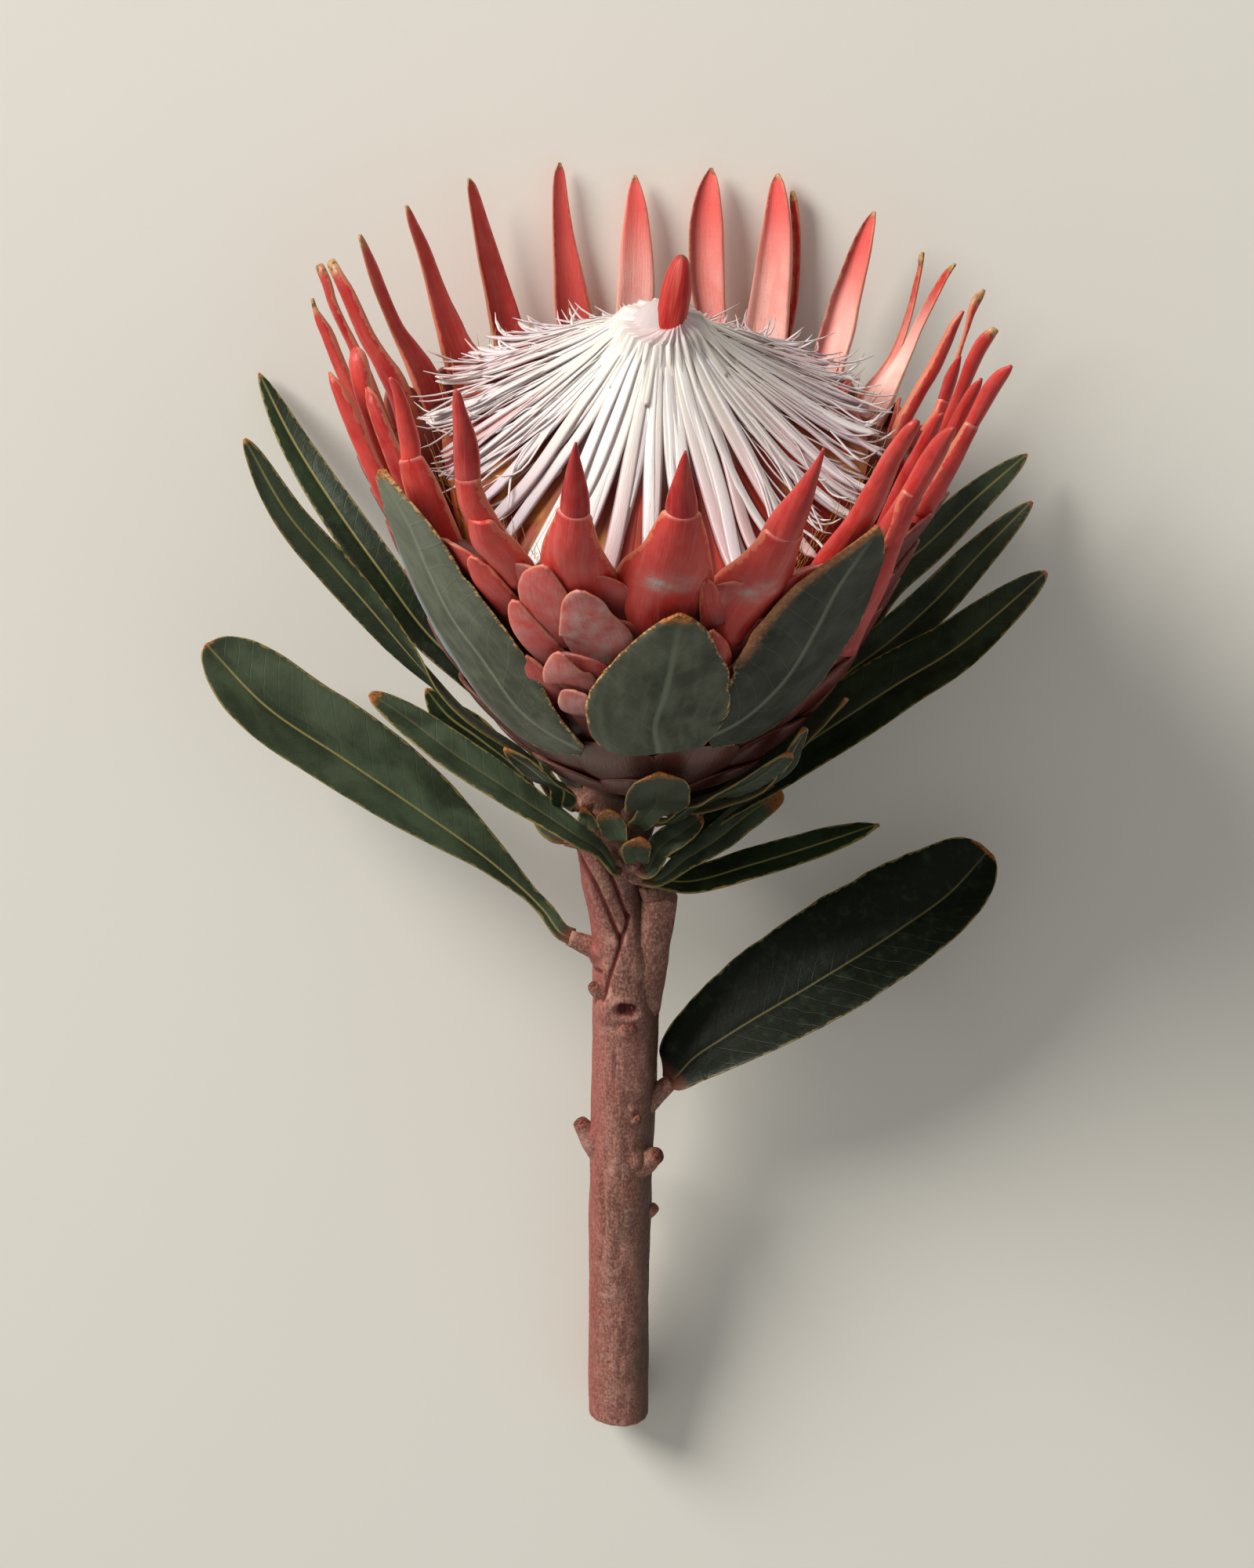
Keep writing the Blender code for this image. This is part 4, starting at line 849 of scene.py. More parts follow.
def shortScale(azimuth, tip, width, length, skew, chance, sunk=0.0):
    # A rounded scale up the bowl: its width swells from the root and closes in a blunt arc.
    # Its radius is the outer one, less the crown times the square of the place across, less
    # half the depth, plus or minus half the depth on its two faces.
    form = scaleForm
    share = np.array(form["share"])
    heights = tip - length * (1 - share)
    parts = (easeThrough(share, *form[part]) for part in ("swell", "lift", "depth", "crown"))
    swell, lift, depth, crown = parts
    bent = np.clip(share - form["arcFrom"], 0, 1) / form["arcSpan"]
    arc = np.sqrt(np.maximum(1 - bent ** form["arcPower"], 0.0))
    half = (width * swell * arc / 2)[:, None]
    belly = form["belly"] * np.sin(share * math.pi)
    outer = cupRadius(heights) + head["scaleRaise"] * lift + belly - sunk
    across, face, body = bladeRing(evenSpots(7))
    azimuths = azimuth + np.degrees(half * across / outer[:, None])
    raised = outer[:, None] - crown[:, None] * across**2 + skew * across
    pressed = np.minimum(raised, surfaceRadius(azimuths, heights[:, None]))
    rows = onHead(azimuths, pressed - depth[:, None] / 2 * (1 - face * body), heights[:, None])
    # Its colour turns mauve towards the stem and redder behind, with painted shade on the right.
    front = math.cos(math.radians(azimuth))
    turn = (azimuth + 180) % 360 - 180
    onRight = 1 - float(soften(turn, 120, 150))
    # Painted shade: the scales on the right are darker and less bloomy, and the low ones there darker still.
    shaded, paintedShade = float(soften(turn, 36, 56)) * onRight, float(soften(turn, 4, 34)) * onRight
    paintedShade = paintedShade * (1 - float(soften(tip, 36, 50)))
    mauve = min(1.0, 1.15 - float(soften(tip, 34, 62)) + 0.25 * (chance - 0.5)) * (1 - 0.5 * shaded)
    dusk = 0.75 * (1 - float(soften(tip, 28, 48)))
    bloom = (0.2 + 0.3 * (1 - soften(tip, 40, 80)) + 0.5 * chance**2) * (1 - 0.7 * shaded)
    bloom = bloom * (1 - 0.5 * min(max(mauve, 0.0), 1.0)) * (1 - 0.8 * paintedShade)
    deep = 0.3 * (1 - soften(share, 0.4, 0.9)) + 0.2 * chance
    deep = deep + 0.55 * soften(-front, -0.8, -0.2) + 0.5 * shaded
    root = (0.9 - 0.35 * shaded) * soften(share, 0.35, 0.75) * (1 - dusk)
    root = np.maximum(1 - root * (1 - 0.75 * soften(-front, -0.85, -0.5)), 0.95 * paintedShade)
    tall = (heights[-1] - heights)[:, None]
    return closedSkin(
        rows, grain=triple(half * across, tall, chance * 40),
        edge=triple(half * (1 - np.abs(across)), tall, face), tone=(bloom, 0.0, 0.0),
        shade=triple(mauve, deep[:, None], root[:, None]), lane=triple(across, 0.0, 0.0),
    )


def cupSkin():
    # The cup under the scales: its profile carried round the axis, hollow above.
    outer = np.linspace(head["cupBottom"], head["cupRim"], 16)
    heights = np.concatenate([outer, head["insideHeights"]])
    radii = np.concatenate([cupRadius(outer), head["insideRadii"]])
    azimuths = np.arange(head["cupSides"]) * 360 / head["cupSides"]
    radius = np.minimum(radii[:, None], surfaceRadius(azimuths[None], heights[:, None]) - 1.0)
    rows = onHead(azimuths[None], radius, heights[:, None])
    outside = (np.arange(len(heights)) <= len(outer))[:, None]
    return closedSkin(
        rows, grain=triple(np.radians(azimuths) * 45, heights[:, None], 3.0), edge=(9, 30, 1),
        tone=(0.2, 0, 0), shade=triple(0.6 * outside, 0.8, 0.8), lane=(0, 0, 0),
    )


def makeHead(material):
    draw = random.Random(head["seed"])
    skins = [cupSkin()]
    for k, (mode, group) in enumerate(tallBracts.items()):
        for j, (name, plan) in enumerate(group.items()):
            skins.append(seenBlade(dict(plan, name=name), mode, (k * 0.37 + j * 0.618) % 1.0))
    for k, (name, plan) in enumerate(frontScales.items()):
        chance = (k * 0.39 + 0.2) % 1.0
        skins.append(seenBlade(dict(plan, name=name), "scale", chance, bladeForm["scaleRows"]))
    low, high = head["ownWindow"]
    for tip, first, count in head["rows"]:
        step = 360 / count
        width = 1.12 * math.radians(step) * float(bowlRadius(tip - 6))
        for k in range(count):
            azimuth = first + k * step + draw.uniform(-1.5, 1.5)
            if underBract(azimuth, tip - 4):
                continue
            length = min(head["scaleLength"], tip - head["cupBottom"] - 1.5)
            height = tip + draw.uniform(-1.2, 1.2)
            skew = draw.uniform(0.1, 0.4)
            turn = (azimuth + 180) % 360 - 180
            sunk = (1.3 if tip > 60 else 0.6) if tip > 35 and low < turn < high else 0.0
            skins.append(shortScale(azimuth, height, width * (1 + 0.12 * (sunk > 0)), length, skew,
                                    (k * 0.618 + tip) % 1.0, sunk))
    makePiece("bract_head_fine", skins, material, "bract_head")


# Satin red bracts: streaks along them, bloom, peach rims, pale feet, dried tips and painted shade.
bractPaint = {
    "fixed": {"Specular IOR Level": 0.33}, "fineness": 1.0, "rim": 0.5,
    "tones": {
        "coral": "d23c33", "deep": "a01112", "salmon": "dc6b5f", "mauve": "56463d", "pink": "ffcfc2",
        "bright": "f8655f", "bloom": "bfa8a2", "rim": "dda078", "tan": "c39a68", "brown": "6b4326",
        "root": "441712", "lip": "e3a598", "fold": "7a1512",
    },
    "marks": {
        "grain": ("x", "y", "chance"), "edge": ("margin", "toTip", "face"), "tone": ("bloom", "dry", "pale"),
        "shade": ("mauve", "deep", "root"), "lane": ("across", "fold", "tint"),
    },
    "clouds": {
        "patch": ("grain", 0.16, 3.0, (1.4, 0.7, 1.0), 0.6), "fine": ("grain", 1.9, 2.0),
        "dusty": ("grain", 0.3, 5.0), "drying": ("grain", 0.5, 3.0), "dried": ("grain", 1.0, 3.0),
    },
    "mixes": {
        "deepShare": (("deep",), (("patch", 0.3, 0.75, -0.22, 0.3),)),
        "dust": (("bloom", ("dusty", 0.15, 0.9)),),
    },
    "tone": (
        "coral", ("deep", "deepShare"), ("salmon", ("streak", 0.45, 0.75, 0, 0.35)),
        ("bright", ("tint", 0, 1, 0, 0.85)), ("pink", "pale", ("patch", 0.2, 0.6, 0.6, 1)),
        # Painted shade: the fold tone darkens the right-hand fold of the back bracts.
        ("salmon", ("across", -0.5, -0.9), "tint", -0.8), ("fold", ("across", 0.5, 0.72), "fold", 0.75),
        ("mauve", "mauve", 0.85), ("bloom", "dust", 0.75), ("salmon", ("fibre", 0.35, 0.7, 0, 0.1)),
        ("root", ("fine", 0.55, 0.8, 0, 0.16)), ("rim", "rim", 0.4), ("lip", ("toTip", 0.9, 0.2, 0, 0.3)),
        ("root", "root", 0.8), (("tan", ("brown", ("dried", 0.4, 0.7))), "dry", ("drying", 0.2, 0.5)),
    ),
    "rough": ((("fibre", 0.3, 0.7, 0.29, 0.42),), ("dust", 0.22)),
    "relief": (("fibre",), ("streak", 1.4), ("fine", 0.5)), "bump": (0.35, 0.2),
}


makeHead(makePaint("bractRed", bractPaint))
print("bracts and scales are made")

# The dome of florets: a dark core, its finger, and the white ribbons over it.
dome = {
    "apex": 107.0, "start": 4.0, "clear": 0.5, "sides": 96, "seat": ((29.0, 45.3), (37.0, 50.0)),
    "finger": ((1.2, 3.2, 98.0), (1.8, 2.8, 106.0), (2.9, 1.9, 114.5), (3.7, 1.1, 121.6)),
    "fingerSize": ((0, 0.4, 0.65, 0.8, 0.9, 0.96, 0.99, 1.0), (2.7, 3.15, 3.1, 2.7, 2.05, 1.4, 0.75, 0.2)),
    "fingerRows": 30, "fingerSides": 28, "flutes": 5, "fluteDepth": 0.035,
    "peak": 4.0, "ridges": 24, "ridgeHeight": 0.35, "hairs": 300, "seed": 17,
}


def domeEnd(azimuth):
    # The radius and height at which the dome ends, at an azimuth.
    turn = np.radians(azimuth)
    return 48 - 2 * np.cos(turn), 77.8 - 11 * np.cos(turn) - 3 * np.cos(2 * turn)


def domeHeight(radius, azimuth):
    # The height of the ribbons' underside: a tent that steepens towards its peak.
    endRadius, endHeight = domeEnd(azimuth)
    along = np.clip((radius - dome["start"]) / (endRadius - dome["start"]), 0, 1)
    peak = dome["peak"] * np.clip(1 - (radius - 3) / 13, 0, 1.1) ** 2
    return endHeight + (dome["apex"] - endHeight) * (1 - along) ** 1.3 + peak


def fingerPoints():
    return [byAxis(*spot) for spot in dome["finger"]]


def tubeRings(middles, radii):
    # Rings round a route: each point is the route's, plus its radius along a turning spoke.
    along = unit(np.gradient(middles, axis=0))
    side = unit(np.cross(along, frontWay + 0.31 * axisWay + 0.11 * rightWay))
    other = np.cross(side, along)
    turns = np.arange(radii.shape[1]) * 2 * math.pi / radii.shape[1]
    ring = np.cos(turns)[None, :, None] * side[:, None] + np.sin(turns)[None, :, None] * other[:, None]
    return middles[:, None] + radii[..., None] * ring, ring


def fingerSkin():
    # A blunt cone up the finger's route.
    share = 1 - (1 - np.linspace(0, 1, dome["fingerRows"])) ** 1.8
    turns = np.arange(dome["fingerSides"]) * 2 * math.pi / dome["fingerSides"]
    flutes = 1 + dome["fluteDepth"] * np.cos(dome["flutes"] * turns + 1)
    radii = easeThrough(share, *dome["fingerSize"])[:, None] * flutes
    rows = tubeRings(smoothThrough(fingerPoints(), share), radii)[0]
    return closedSkin(
        rows, grain=triple(turns * 2.6, share[:, None] * 21, 5.0),
        look=triple(0.0, 1.0, soften(share, 0.95, 1.0)[:, None]),
    )


def coreSkin():
    # The dark dome under the ribbons, ridged from the apex outwards.
    azimuths = np.arange(dome["sides"]) * 360 / dome["sides"]
    endRadius = domeEnd(azimuths)[0] - 4
    share = np.linspace(1, 0.04, 22)
    radii = [np.full(len(azimuths), r) for r, h in dome["seat"]]
    heights = [np.full(len(azimuths), h) for r, h in dome["seat"]]
    low = domeHeight(endRadius, azimuths) - 3
    radii.append(endRadius - 2.5)
    heights.append((low + 50) / 2)
    for s in share:
        radius = endRadius * s
        phase = np.radians(azimuths) * dome["ridges"] + 3 * ripple(azimuths / 30, s * 2, 3)
        ridge = dome["ridgeHeight"] * np.sin(phase) * soften(s, 0.15, 0.5)
        drop = 2.2 * soften(s, 0.93, 1.0) + 0.5 * soften(s, 0.25, 0.5)
        radii.append(radius)
        heights.append(domeHeight(radius, azimuths) - dome["clear"] - 0.6 + ridge - drop)
    radii, heights = np.array(radii), np.array(heights)
    rows = onHead(azimuths[None], radii, heights)
    grain = triple(np.radians(azimuths) * 40, radii, 2.0)
    return closedSkin(rows, grain=grain, look=triple(soften(radii, 10, 45), 0.0, 0.0))


def hairSkins():
    # Golden hairs along the dome's lower edge: thin three-sided spikes that lean out.
    draw = np.random.default_rng(dome["seed"])
    skins = []
    ring = np.arange(3) * 2 * math.pi / 3
    share = np.array([0.0, 0.35, 0.7, 1.0])
    for k in range(dome["hairs"]):
        azimuth = draw.uniform(-75, 75) if k % 3 else draw.uniform(-180, 180)
        radius = domeEnd(azimuth)[0] - draw.uniform(1.5, 5.0)
        height = float(domeHeight(radius, azimuth)) - draw.uniform(1.5, 4.0)
        reach, climb = draw.uniform(1.0, 4.0), draw.uniform(3.0, 8.5)
        sway = draw.uniform(-2.5, 2.5) * share**1.5
        middles = onHead(azimuth + sway, radius + reach * share, height + climb * share**1.3)
        around = np.cos(ring)[:, None] * rightWay + np.sin(ring)[:, None] * frontWay
        thick = draw.uniform(0.12, 0.24) * (1 - 0.8 * share)
        rows = middles[:, None] + thick[:, None, None] * around
        grain = triple(ring, share[:, None] * 5, float(k))
        skins.append(closedSkin(rows, grain=grain, look=(1.0, -1.0, 0.0)))
    return skins


# Dark red and brown under the ribbons, with amber patches; the finger is a deeper red.
corePaint = {
    "fixed": {"Specular IOR Level": 0.4}, "fineness": 0.8,
    "tones": {
        "dark": "7c1d14", "red": "bd4232", "brown": "7d4525", "amber": "c98336", "finger": "b3241e",
        "fingerLight": "d85a4c", "gold": "c79a55", "pale": "cfc6c6",
    },
    "marks": {"grain": ("x", "y", "chance"), "look": ("low", "kind", "tip")},
    "clouds": {"patch": ("grain", 0.11, 3.0, (1.0, 0.5, 1.0))},
    "tone": (
        "dark", ("red", ("streak", 0.35, 0.65)), ("brown", ("patch", 0.45, 0.65, 0, 0.8)),
        ("amber", ("patch", 0.54, 0.64), ("low", 0.5, 0.9)), ("pale", ("low", 0.45, 0.1, 0, 0.9)),
        (("finger", ("fingerLight", ("streak", 0.4, 0.7)), ("brown", ("tip", 0, 1, 0, 0.6))),
         ("kind", 0.4, 0.6)),
        ("gold", ("kind", -0.4, -0.6)),
    ),
    "rough": ((("fibre", 0.3, 0.7, 0.42, 0.6),),),
    "relief": (("fibre",), ("streak",)), "bump": (0.4, 0.3),
}


coreSkins = [coreSkin(), fingerSkin()] + hairSkins()
makePiece("floret_core_fine", coreSkins, makePaint("coreRed", corePaint), "floret_core")

ribbons = {
    "long": 74, "short": 130, "threads": 210, "seed": 400, "clump": 14.0, "curlFrom": 0.72,
    "narrowing": ((0, 0.25, 0.8, 0.94, 1.0), (0.5, 0.8, 1.0, 0.85, 0.3)),
    # A ribbon's cross-section: place across and height, in half widths and in thicknesses.
    "across": (-1.0, -0.62, 0.0, 0.62, 1.0, 0.5, -0.5), "rise": (0.0, 0.9, 0.5, 0.9, 0.0, -0.55, -0.55),
    # Where the short and the long ones start from the axis, and how thick each kind is.
    "starts": (7.0, 7.5), "thick": (0.5, 0.6, 0.25), "longRows": 20,
}


def ribbon(azimuth, start, end, width, thick, lift, bend, curl, wave, chance, gather=0.0, rows=15, taper=0.0):
    # A ribbon down the dome. Its middle follows the dome's height and is drawn towards the
    # middle of its clump. Its rings are flat, with a groove along the upper face.
    share = np.linspace(0, 1, rows)
    endRadius = float(domeEnd(azimuth)[0])
    radii = start + (endRadius * end - start) * share
    sway = 0.25 * math.sin(azimuth / 9)
    centre = (round(azimuth / ribbons["clump"] + sway) - sway) * ribbons["clump"]
    aside = bend * share**1.6 + wave * np.sin(share * 7 + chance * 20) * share
    aside = aside + gather * (centre - azimuth) * soften(share, 0.15, 0.95)
    azimuths = azimuth + aside
    heights = domeHeight(radii, azimuth) + lift * (1 + 0.6 * np.sin(share * 3 + chance * 9))
    curled = np.clip((share - ribbons["curlFrom"]) / (1 - ribbons["curlFrom"]), 0, 1) ** 1.6
    heights = heights + curl * curled - 1.3 * np.exp(-((radii - start) / 2.2) ** 2)
    middles = onHead(azimuths, radii, heights)
    along = unit(np.gradient(middles, axis=0))
    out = outward(azimuths) + axisWay
    side = unit(np.cross(along, out))
    up = np.cross(side, along)
    up = up * np.where((up * out).sum(axis=1) < 0, -1, 1)[:, None]
    across, rise = np.array(ribbons["across"]), np.array(ribbons["rise"])
    body = easeThrough(share, *ribbons["narrowing"]) * (1 - taper * soften(share, 0.45, 1.0))
    half = width / 2 * body
    tilt = 0.35 * math.sin(chance * 40)
    rise = rise[None] * thick + tilt * half[:, None] * across * 0.6
    rowsAt = middles[:, None] + (half[:, None] * across)[..., None] * side[:, None]
    rowsAt = rowsAt + (body[:, None] * rise)[..., None] * up[:, None]
    grain = triple(half[:, None] * across, (share * 45)[:, None], chance * 60)
    first = start / 48
    look = triple(np.abs(across), (first + (end - first) * share)[:, None], chance)
    return closedSkin(rowsAt, grain=grain, look=look)


def ribbonSkins():
    # Short ribbons round the finger, long ones down to the rim, and thin threads among them.
    draw = np.random.default_rng(ribbons["seed"])
    near, far = ribbons["starts"]
    thin, full, hair = ribbons["thick"]
    skins = []
    for k in range(ribbons["short"]):
        azimuth = k * 360 / ribbons["short"] + draw.uniform(-1.6, 1.6)
        skins.append(ribbon(azimuth, near, draw.uniform(0.35, 0.62), draw.uniform(1.5, 2.1), thin, 0.1,
                            draw.uniform(-2, 2), draw.uniform(-1.0, -0.3), 0.4, draw.uniform(), 0.3,
                            taper=0.85))
    for k in range(ribbons["long"]):
        azimuth = k * 360 / ribbons["long"] + draw.uniform(-1.2, 1.2)
        back = 0.5 - 0.5 * math.cos(math.radians(azimuth))
        end = draw.uniform(0.93, 1.04)
        curl = draw.uniform(-0.6, 1.0) + draw.uniform(-0.5, 1.4) * back
        end = end - 0.06 * back * draw.uniform()
        width = draw.uniform(2.5, 3.7) - 1.5 * back
        skins.append(ribbon(azimuth, far, end, width, full, draw.uniform(0.35, 0.9), draw.normal(0, 3.2),
                            curl, draw.uniform(0.3, 2.0), draw.uniform(), draw.uniform(0.55, 0.95),
                            ribbons["longRows"]))
    for k in range(ribbons["threads"]):
        azimuth = draw.uniform(42, 318)
        start = draw.uniform(12, 30)
        skins.append(ribbon(azimuth, start, draw.uniform(0.85, 1.08), draw.uniform(0.35, 0.75), hair,
                            draw.uniform(0.6, 1.5), draw.uniform(-16, 16), draw.uniform(-1.0, 4.4),
                            draw.uniform(0.5, 3.0), draw.uniform()))
    return skins


collar = {
    "points": 120, "up": 0.12,           # its middle, as a share of the finger's second reach
    # The flared skirt: radius, and height over the dome.
    "skirt": ((10.5, -1.5), (13.5, -0.9), (13.2, -0.4), (10.4, 0.75), (8.2, 1.5)),
    "cone": (0.25, 0.5, 0.75, 0.92, 1.0), "neck": 3.6, "lip": 2.9, "inside": 1.4, "backIn": 1.3,
    # Pleats and scallops: how deep and how many.
    "pleat": (0.42, 33), "fold": (0.16, 14), "scallop": (1.2, 24), "ragged": 1.6,
}


def collarSkin():
    # The crinkled cap round the finger: a flared cone with pleats, higher behind.
    azimuths = np.arange(collar["points"]) * 360 / collar["points"]
    low, high = fingerPoints()[1:3]
    turn, out = np.radians(azimuths), outward(azimuths)
    behind = 0.5 - 0.5 * np.cos(turn + 0.5)
    middle = low + (high - low) * collar["up"]
    depth, count = collar["pleat"]
    pleat = depth * np.sin(turn * count + 2.6 * ripple(azimuths / 20, 0, 8))
    depth, count = collar["fold"]
    pleat = pleat + depth * np.sin(turn * count)
    depth, count = collar["scallop"]
    scallop = collar["ragged"] * ripple(azimuths / 6, 2, 5) + depth * np.sin(turn * count)
    rings = []
    for radius, raised in collar["skirt"]:
        wide = radius + pleat + scallop * soften(radius, 9, 13)
        rings.append(onHead(azimuths, wide, domeHeight(radius, azimuths) + raised + pleat))

    def closer(radius, climb):
        # A ring round the finger, narrower and higher behind.
        back = collar["backIn"] * behind
        return middle + out * (radius - back)[:, None] + (behind * climb)[:, None] * axisWay

    outer, top = rings[-1], closer(collar["neck"], 3.6)
    for s in collar["cone"]:
        ring = outer + (top - outer) * s + (pleat * (1 - 0.5 * s))[:, None] * axisWay
        rings.append(ring - axisWay * 0.5 * math.sin(s * math.pi))
    rings += [closer(collar["lip"], 3.0), middle + out * collar["inside"] - axisWay * 1.5]
    rows = np.array(rings)
    pinkish = np.linspace(0, 1, len(rows))[:, None]
    return closedSkin(
        rows, grain=triple(turn * 8, np.arange(len(rows))[:, None] * 1.5, 9.0),
        look=triple(0.45 + 0.55 * soften(-pleat, -0.15, 0.12) * pinkish, 0.1 + 0.9 * pinkish, 0.97),
    )


# Silky white ribbons: cream at the top, lilac and pink towards their ends, dark edges.
ribbonPaint = {
    "fixed": {"Specular IOR Level": 0.5, "Sheen Weight": 0.1}, "fineness": 1.6,
    "tones": {"white": "ecebe8", "cream": "e2e0d3", "lilac": "d8ccd6", "pink": "d9b0aa", "edge": "ae9092"},
    "marks": {"grain": ("x", "y", "whole"), "look": ("across", "along", "chance")},
    "tone": (
        "white", ("cream", ("chance", 0.2, 0.9, 0, 0.8)),
        ("lilac", ("along", 0.25, 0.9), ("chance", 0.3, 0.75, 0.15, 0.9)),
        ("pink", ("along", 0.25, 0.9), ("chance", 0.78, 0.88, 0.05, 0.75)),
        ("lilac", ("streak", 0.45, 0.7, 0, 0.4)),
        ("edge", ("across", 0.66, 1), ("along", 0.15, 0.6, 0.1, 0.7)),
    ),
    "rough": ((("fibre", 0.3, 0.7, 0.3, 0.46),),),
    "relief": (("fibre",),), "bump": (0.5, 0.15),
}


strandSkins = [collarSkin()] + ribbonSkins()
strandPaint = makePaint("ribbonWhite", ribbonPaint)
makePiece("floret_strands_fine", strandSkins, strandPaint, "floret_strands")
print("florets are made")

# Grey-green bracts with bloom, a pale midrib, faint veins, a rough tan rim, painted light and shade and a
# painted sheen.
greenPaint = {
    "fixed": {"Specular IOR Level": 0.25}, "rim": "rimWidth", "veins": (0.8, 5.5),
    "tones": {
        "body": "545847", "dark": "3b4031", "bloom": "767a6a", "vein": "87907a", "rim": "cbaa72",
        "band": "b9774f", "rimDark": "7c5430", "orange": "c77d3f", "sheen": "98a5ae", "paintedShade": "1c1f17",
    },
    "marks": {
        "grain": ("x", "y", "seed"), "edge": ("margin", "toTip", "face"),
        "look": ("rimWidth", "sheen", "notch"), "lane": ("paintedLightShade",),
    },
    "clouds": {
        "patch": ("grain", 0.13, 4.0, (1.0, 1.0, 1.0), 0.5), "fine": ("grain", 1.3, 3.0),
        "dusty": ("grain", 0.5, 5.0, (1.0, 0.3, 1.0)), "torn": ("grain", 0.4, 3.0),
    },
    "tone": (
        "body", ("dark", ("patch", 0.3, 0.7)), ("bloom", ("dusty", 0.35, 0.85, 0, 0.5)),
        # Painted light and shade: a lit bract takes on the vein tone, and a shaded one the darkest tone.
        ("dark", ("fine", 0.5, 0.8, 0, 0.2)), ("vein", ("paintedLightShade", 0, 1)), ("paintedShade", ("paintedLightShade", 0, -1)),
        ("vein", "veins", 0.11), ("vein", ("away", 0.95, 0.05), ("toTip", 2, 14, 0.15, 0.55)),
        # The sheen tone is a painted sheen.
        ("sheen", ("sheen", 0.9, 1.25, 0, 0.75)), ("band", ("margin", 3.2, 0, 0, 0.95), ("rimWidth", 1, 2.4)),
        (("rim", ("rimDark", ("fine", 0.35, 0.6))), "rim", ("rimWidth", 1, 1.6, 0.9, 0.25)),
        (("orange", ("rimDark", ("fine", 0.4, 0.65))), ("toTip", 3.2, 0.8), "notch", ("torn", 0.25, 0.5)),
    ),
    "rough": ((("patch", 0.3, 0.7, 0.5, 0.66),),),
    "relief": (("fine", 0.6), ("veins", 0.4), ("rim", ("fine", 0.3, 0.7, 0.2, 1.6))), "bump": (0.4, 0.25),
}
greenForm = {
    "thick": 1.2, "radius": 50.0, "rows": 56, "crowd": 1.15, "spots": 14, "spotCrowd": 1.35,
    "ends": (0.04, 0.94), "tip": (0.85, 0.65, 0.35), "uneven": 0.035, "lobePhase": 12.5,
    # Waves, the crease of the midrib, the curl of the rim and the lift off the scales, in
    # millimetres.
    "wave": 0.4, "crease": 0.3, "creaseWidth": 0.9, "curl": 0.5, "crown": 0.3, "clear": 0.6,
    "lift": 0.4,
}


def greenBractSkin(name, bract):
    # A bract over the scales: a midrib on the bowl, half widths from it, and a wavy rim. Its
    # outline is laid out flat, and then wrapped round the bowl.
    form = greenForm
    places = 1 - (1 - np.linspace(0, 1, form["rows"])) ** form["crowd"]
    middle = smoothThrough(bract["route"], places)
    half = np.interp(places, np.linspace(0, 1, len(bract["widths"])), bract["widths"]) / 2
    smoothed = np.convolve(np.pad(half, 2, mode="edge"), np.ones(5) / 5, mode="valid")
    first, last = form["ends"]
    half = np.where((places > first) & (places < last), smoothed, half)
    half[-3:] *= np.array(form["tip"])
    perDegree = math.radians(form["radius"])
    plane = middle * (perDegree, 1.0)
    along = unit(np.gradient(plane, axis=0))
    normal = np.stack([along[:, 1], -along[:, 0]], axis=1)
    across, face, body = bladeRing(evenSpots(form["spots"], form["spotCrowd"]))
    seed = len(name) * 7
    along = places[:, None]
    uneven = (across > 0) * ripple(along * 9, 0, seed) + (across < 0) * ripple(along * 9, 3, seed + 1)
    ends = np.sin(np.clip(along, 0, 1) * math.pi) ** 0.5
    wide = half[:, None] * across * (1 + form["uneven"] * uneven * np.abs(across) * ends)
    lobes = (np.abs(np.sin(along * form["lobePhase"])) - 0.5) * ends * (across > 0) * np.abs(across) ** 2
    wide = wide * (1 + bract.get("lobes", 0.0) * lobes)
    flat = plane[:, None] + wide[..., None] * normal[:, None]
    azimuths = flat[..., 0] / perDegree
    heights = np.maximum(flat[..., 1], head["cupBottom"] + 2)
    wave = form["wave"] * across**2 * (1 + np.sin(9 * along + 2 * across))
    crease = -form["crease"] * np.exp(-(wide / form["creaseWidth"]) ** 2)
    curl = np.maximum(form["curl"] * np.abs(across) ** 6 * ripple(along * 7, across, seed + 5), -0.3)
    inner = bowlRadius(heights) + bract.get("lift", form["lift"]) + wave + crease + curl
    inner = np.minimum(inner, surfaceRadius(azimuths, heights) - form["thick"] - form["clear"])
    radius = inner + form["thick"] * (0.5 + 0.5 * face * body) - form["crown"] * across**2
    rows = onHead(azimuths, radius, heights)
    length = np.linalg.norm(np.diff(plane, axis=0), axis=1).sum()
    s = along * length
    grain = triple(wide, s, float(seed))
    edge = triple(half[:, None] * (1 - np.abs(across)), length - s, face)
    broad = 1 + bract.get("broadRim", 0.0) * (across < 0) * soften(along, 0.3, 0.6)
    # Its second value paints a sheen across the bract.
    look = triple(bract["rim"] * broad, bract.get("sheen", 0.0) * wide / 10, bract["notch"])
    # Painted light and shade: a bract on the lit side is painted lighter, more so towards its tip, and one on
    # the shaded side darker.
    light = bract.get("light", 0.0)
    lane = triple(light + ((along - 0.55) * 0.7 if light > 0.2 else 0.0), 0.0, 0.0)
    return closedSkin(rows, grain=grain, edge=edge, look=look, lane=lane)


greyGreen = makePaint("bractGreyGreen", greenPaint)
for name, bract in greenBracts.items():
    makePiece(name + "_fine", [greenBractSkin(name, bract)], greyGreen, name)
print("green bracts are made")

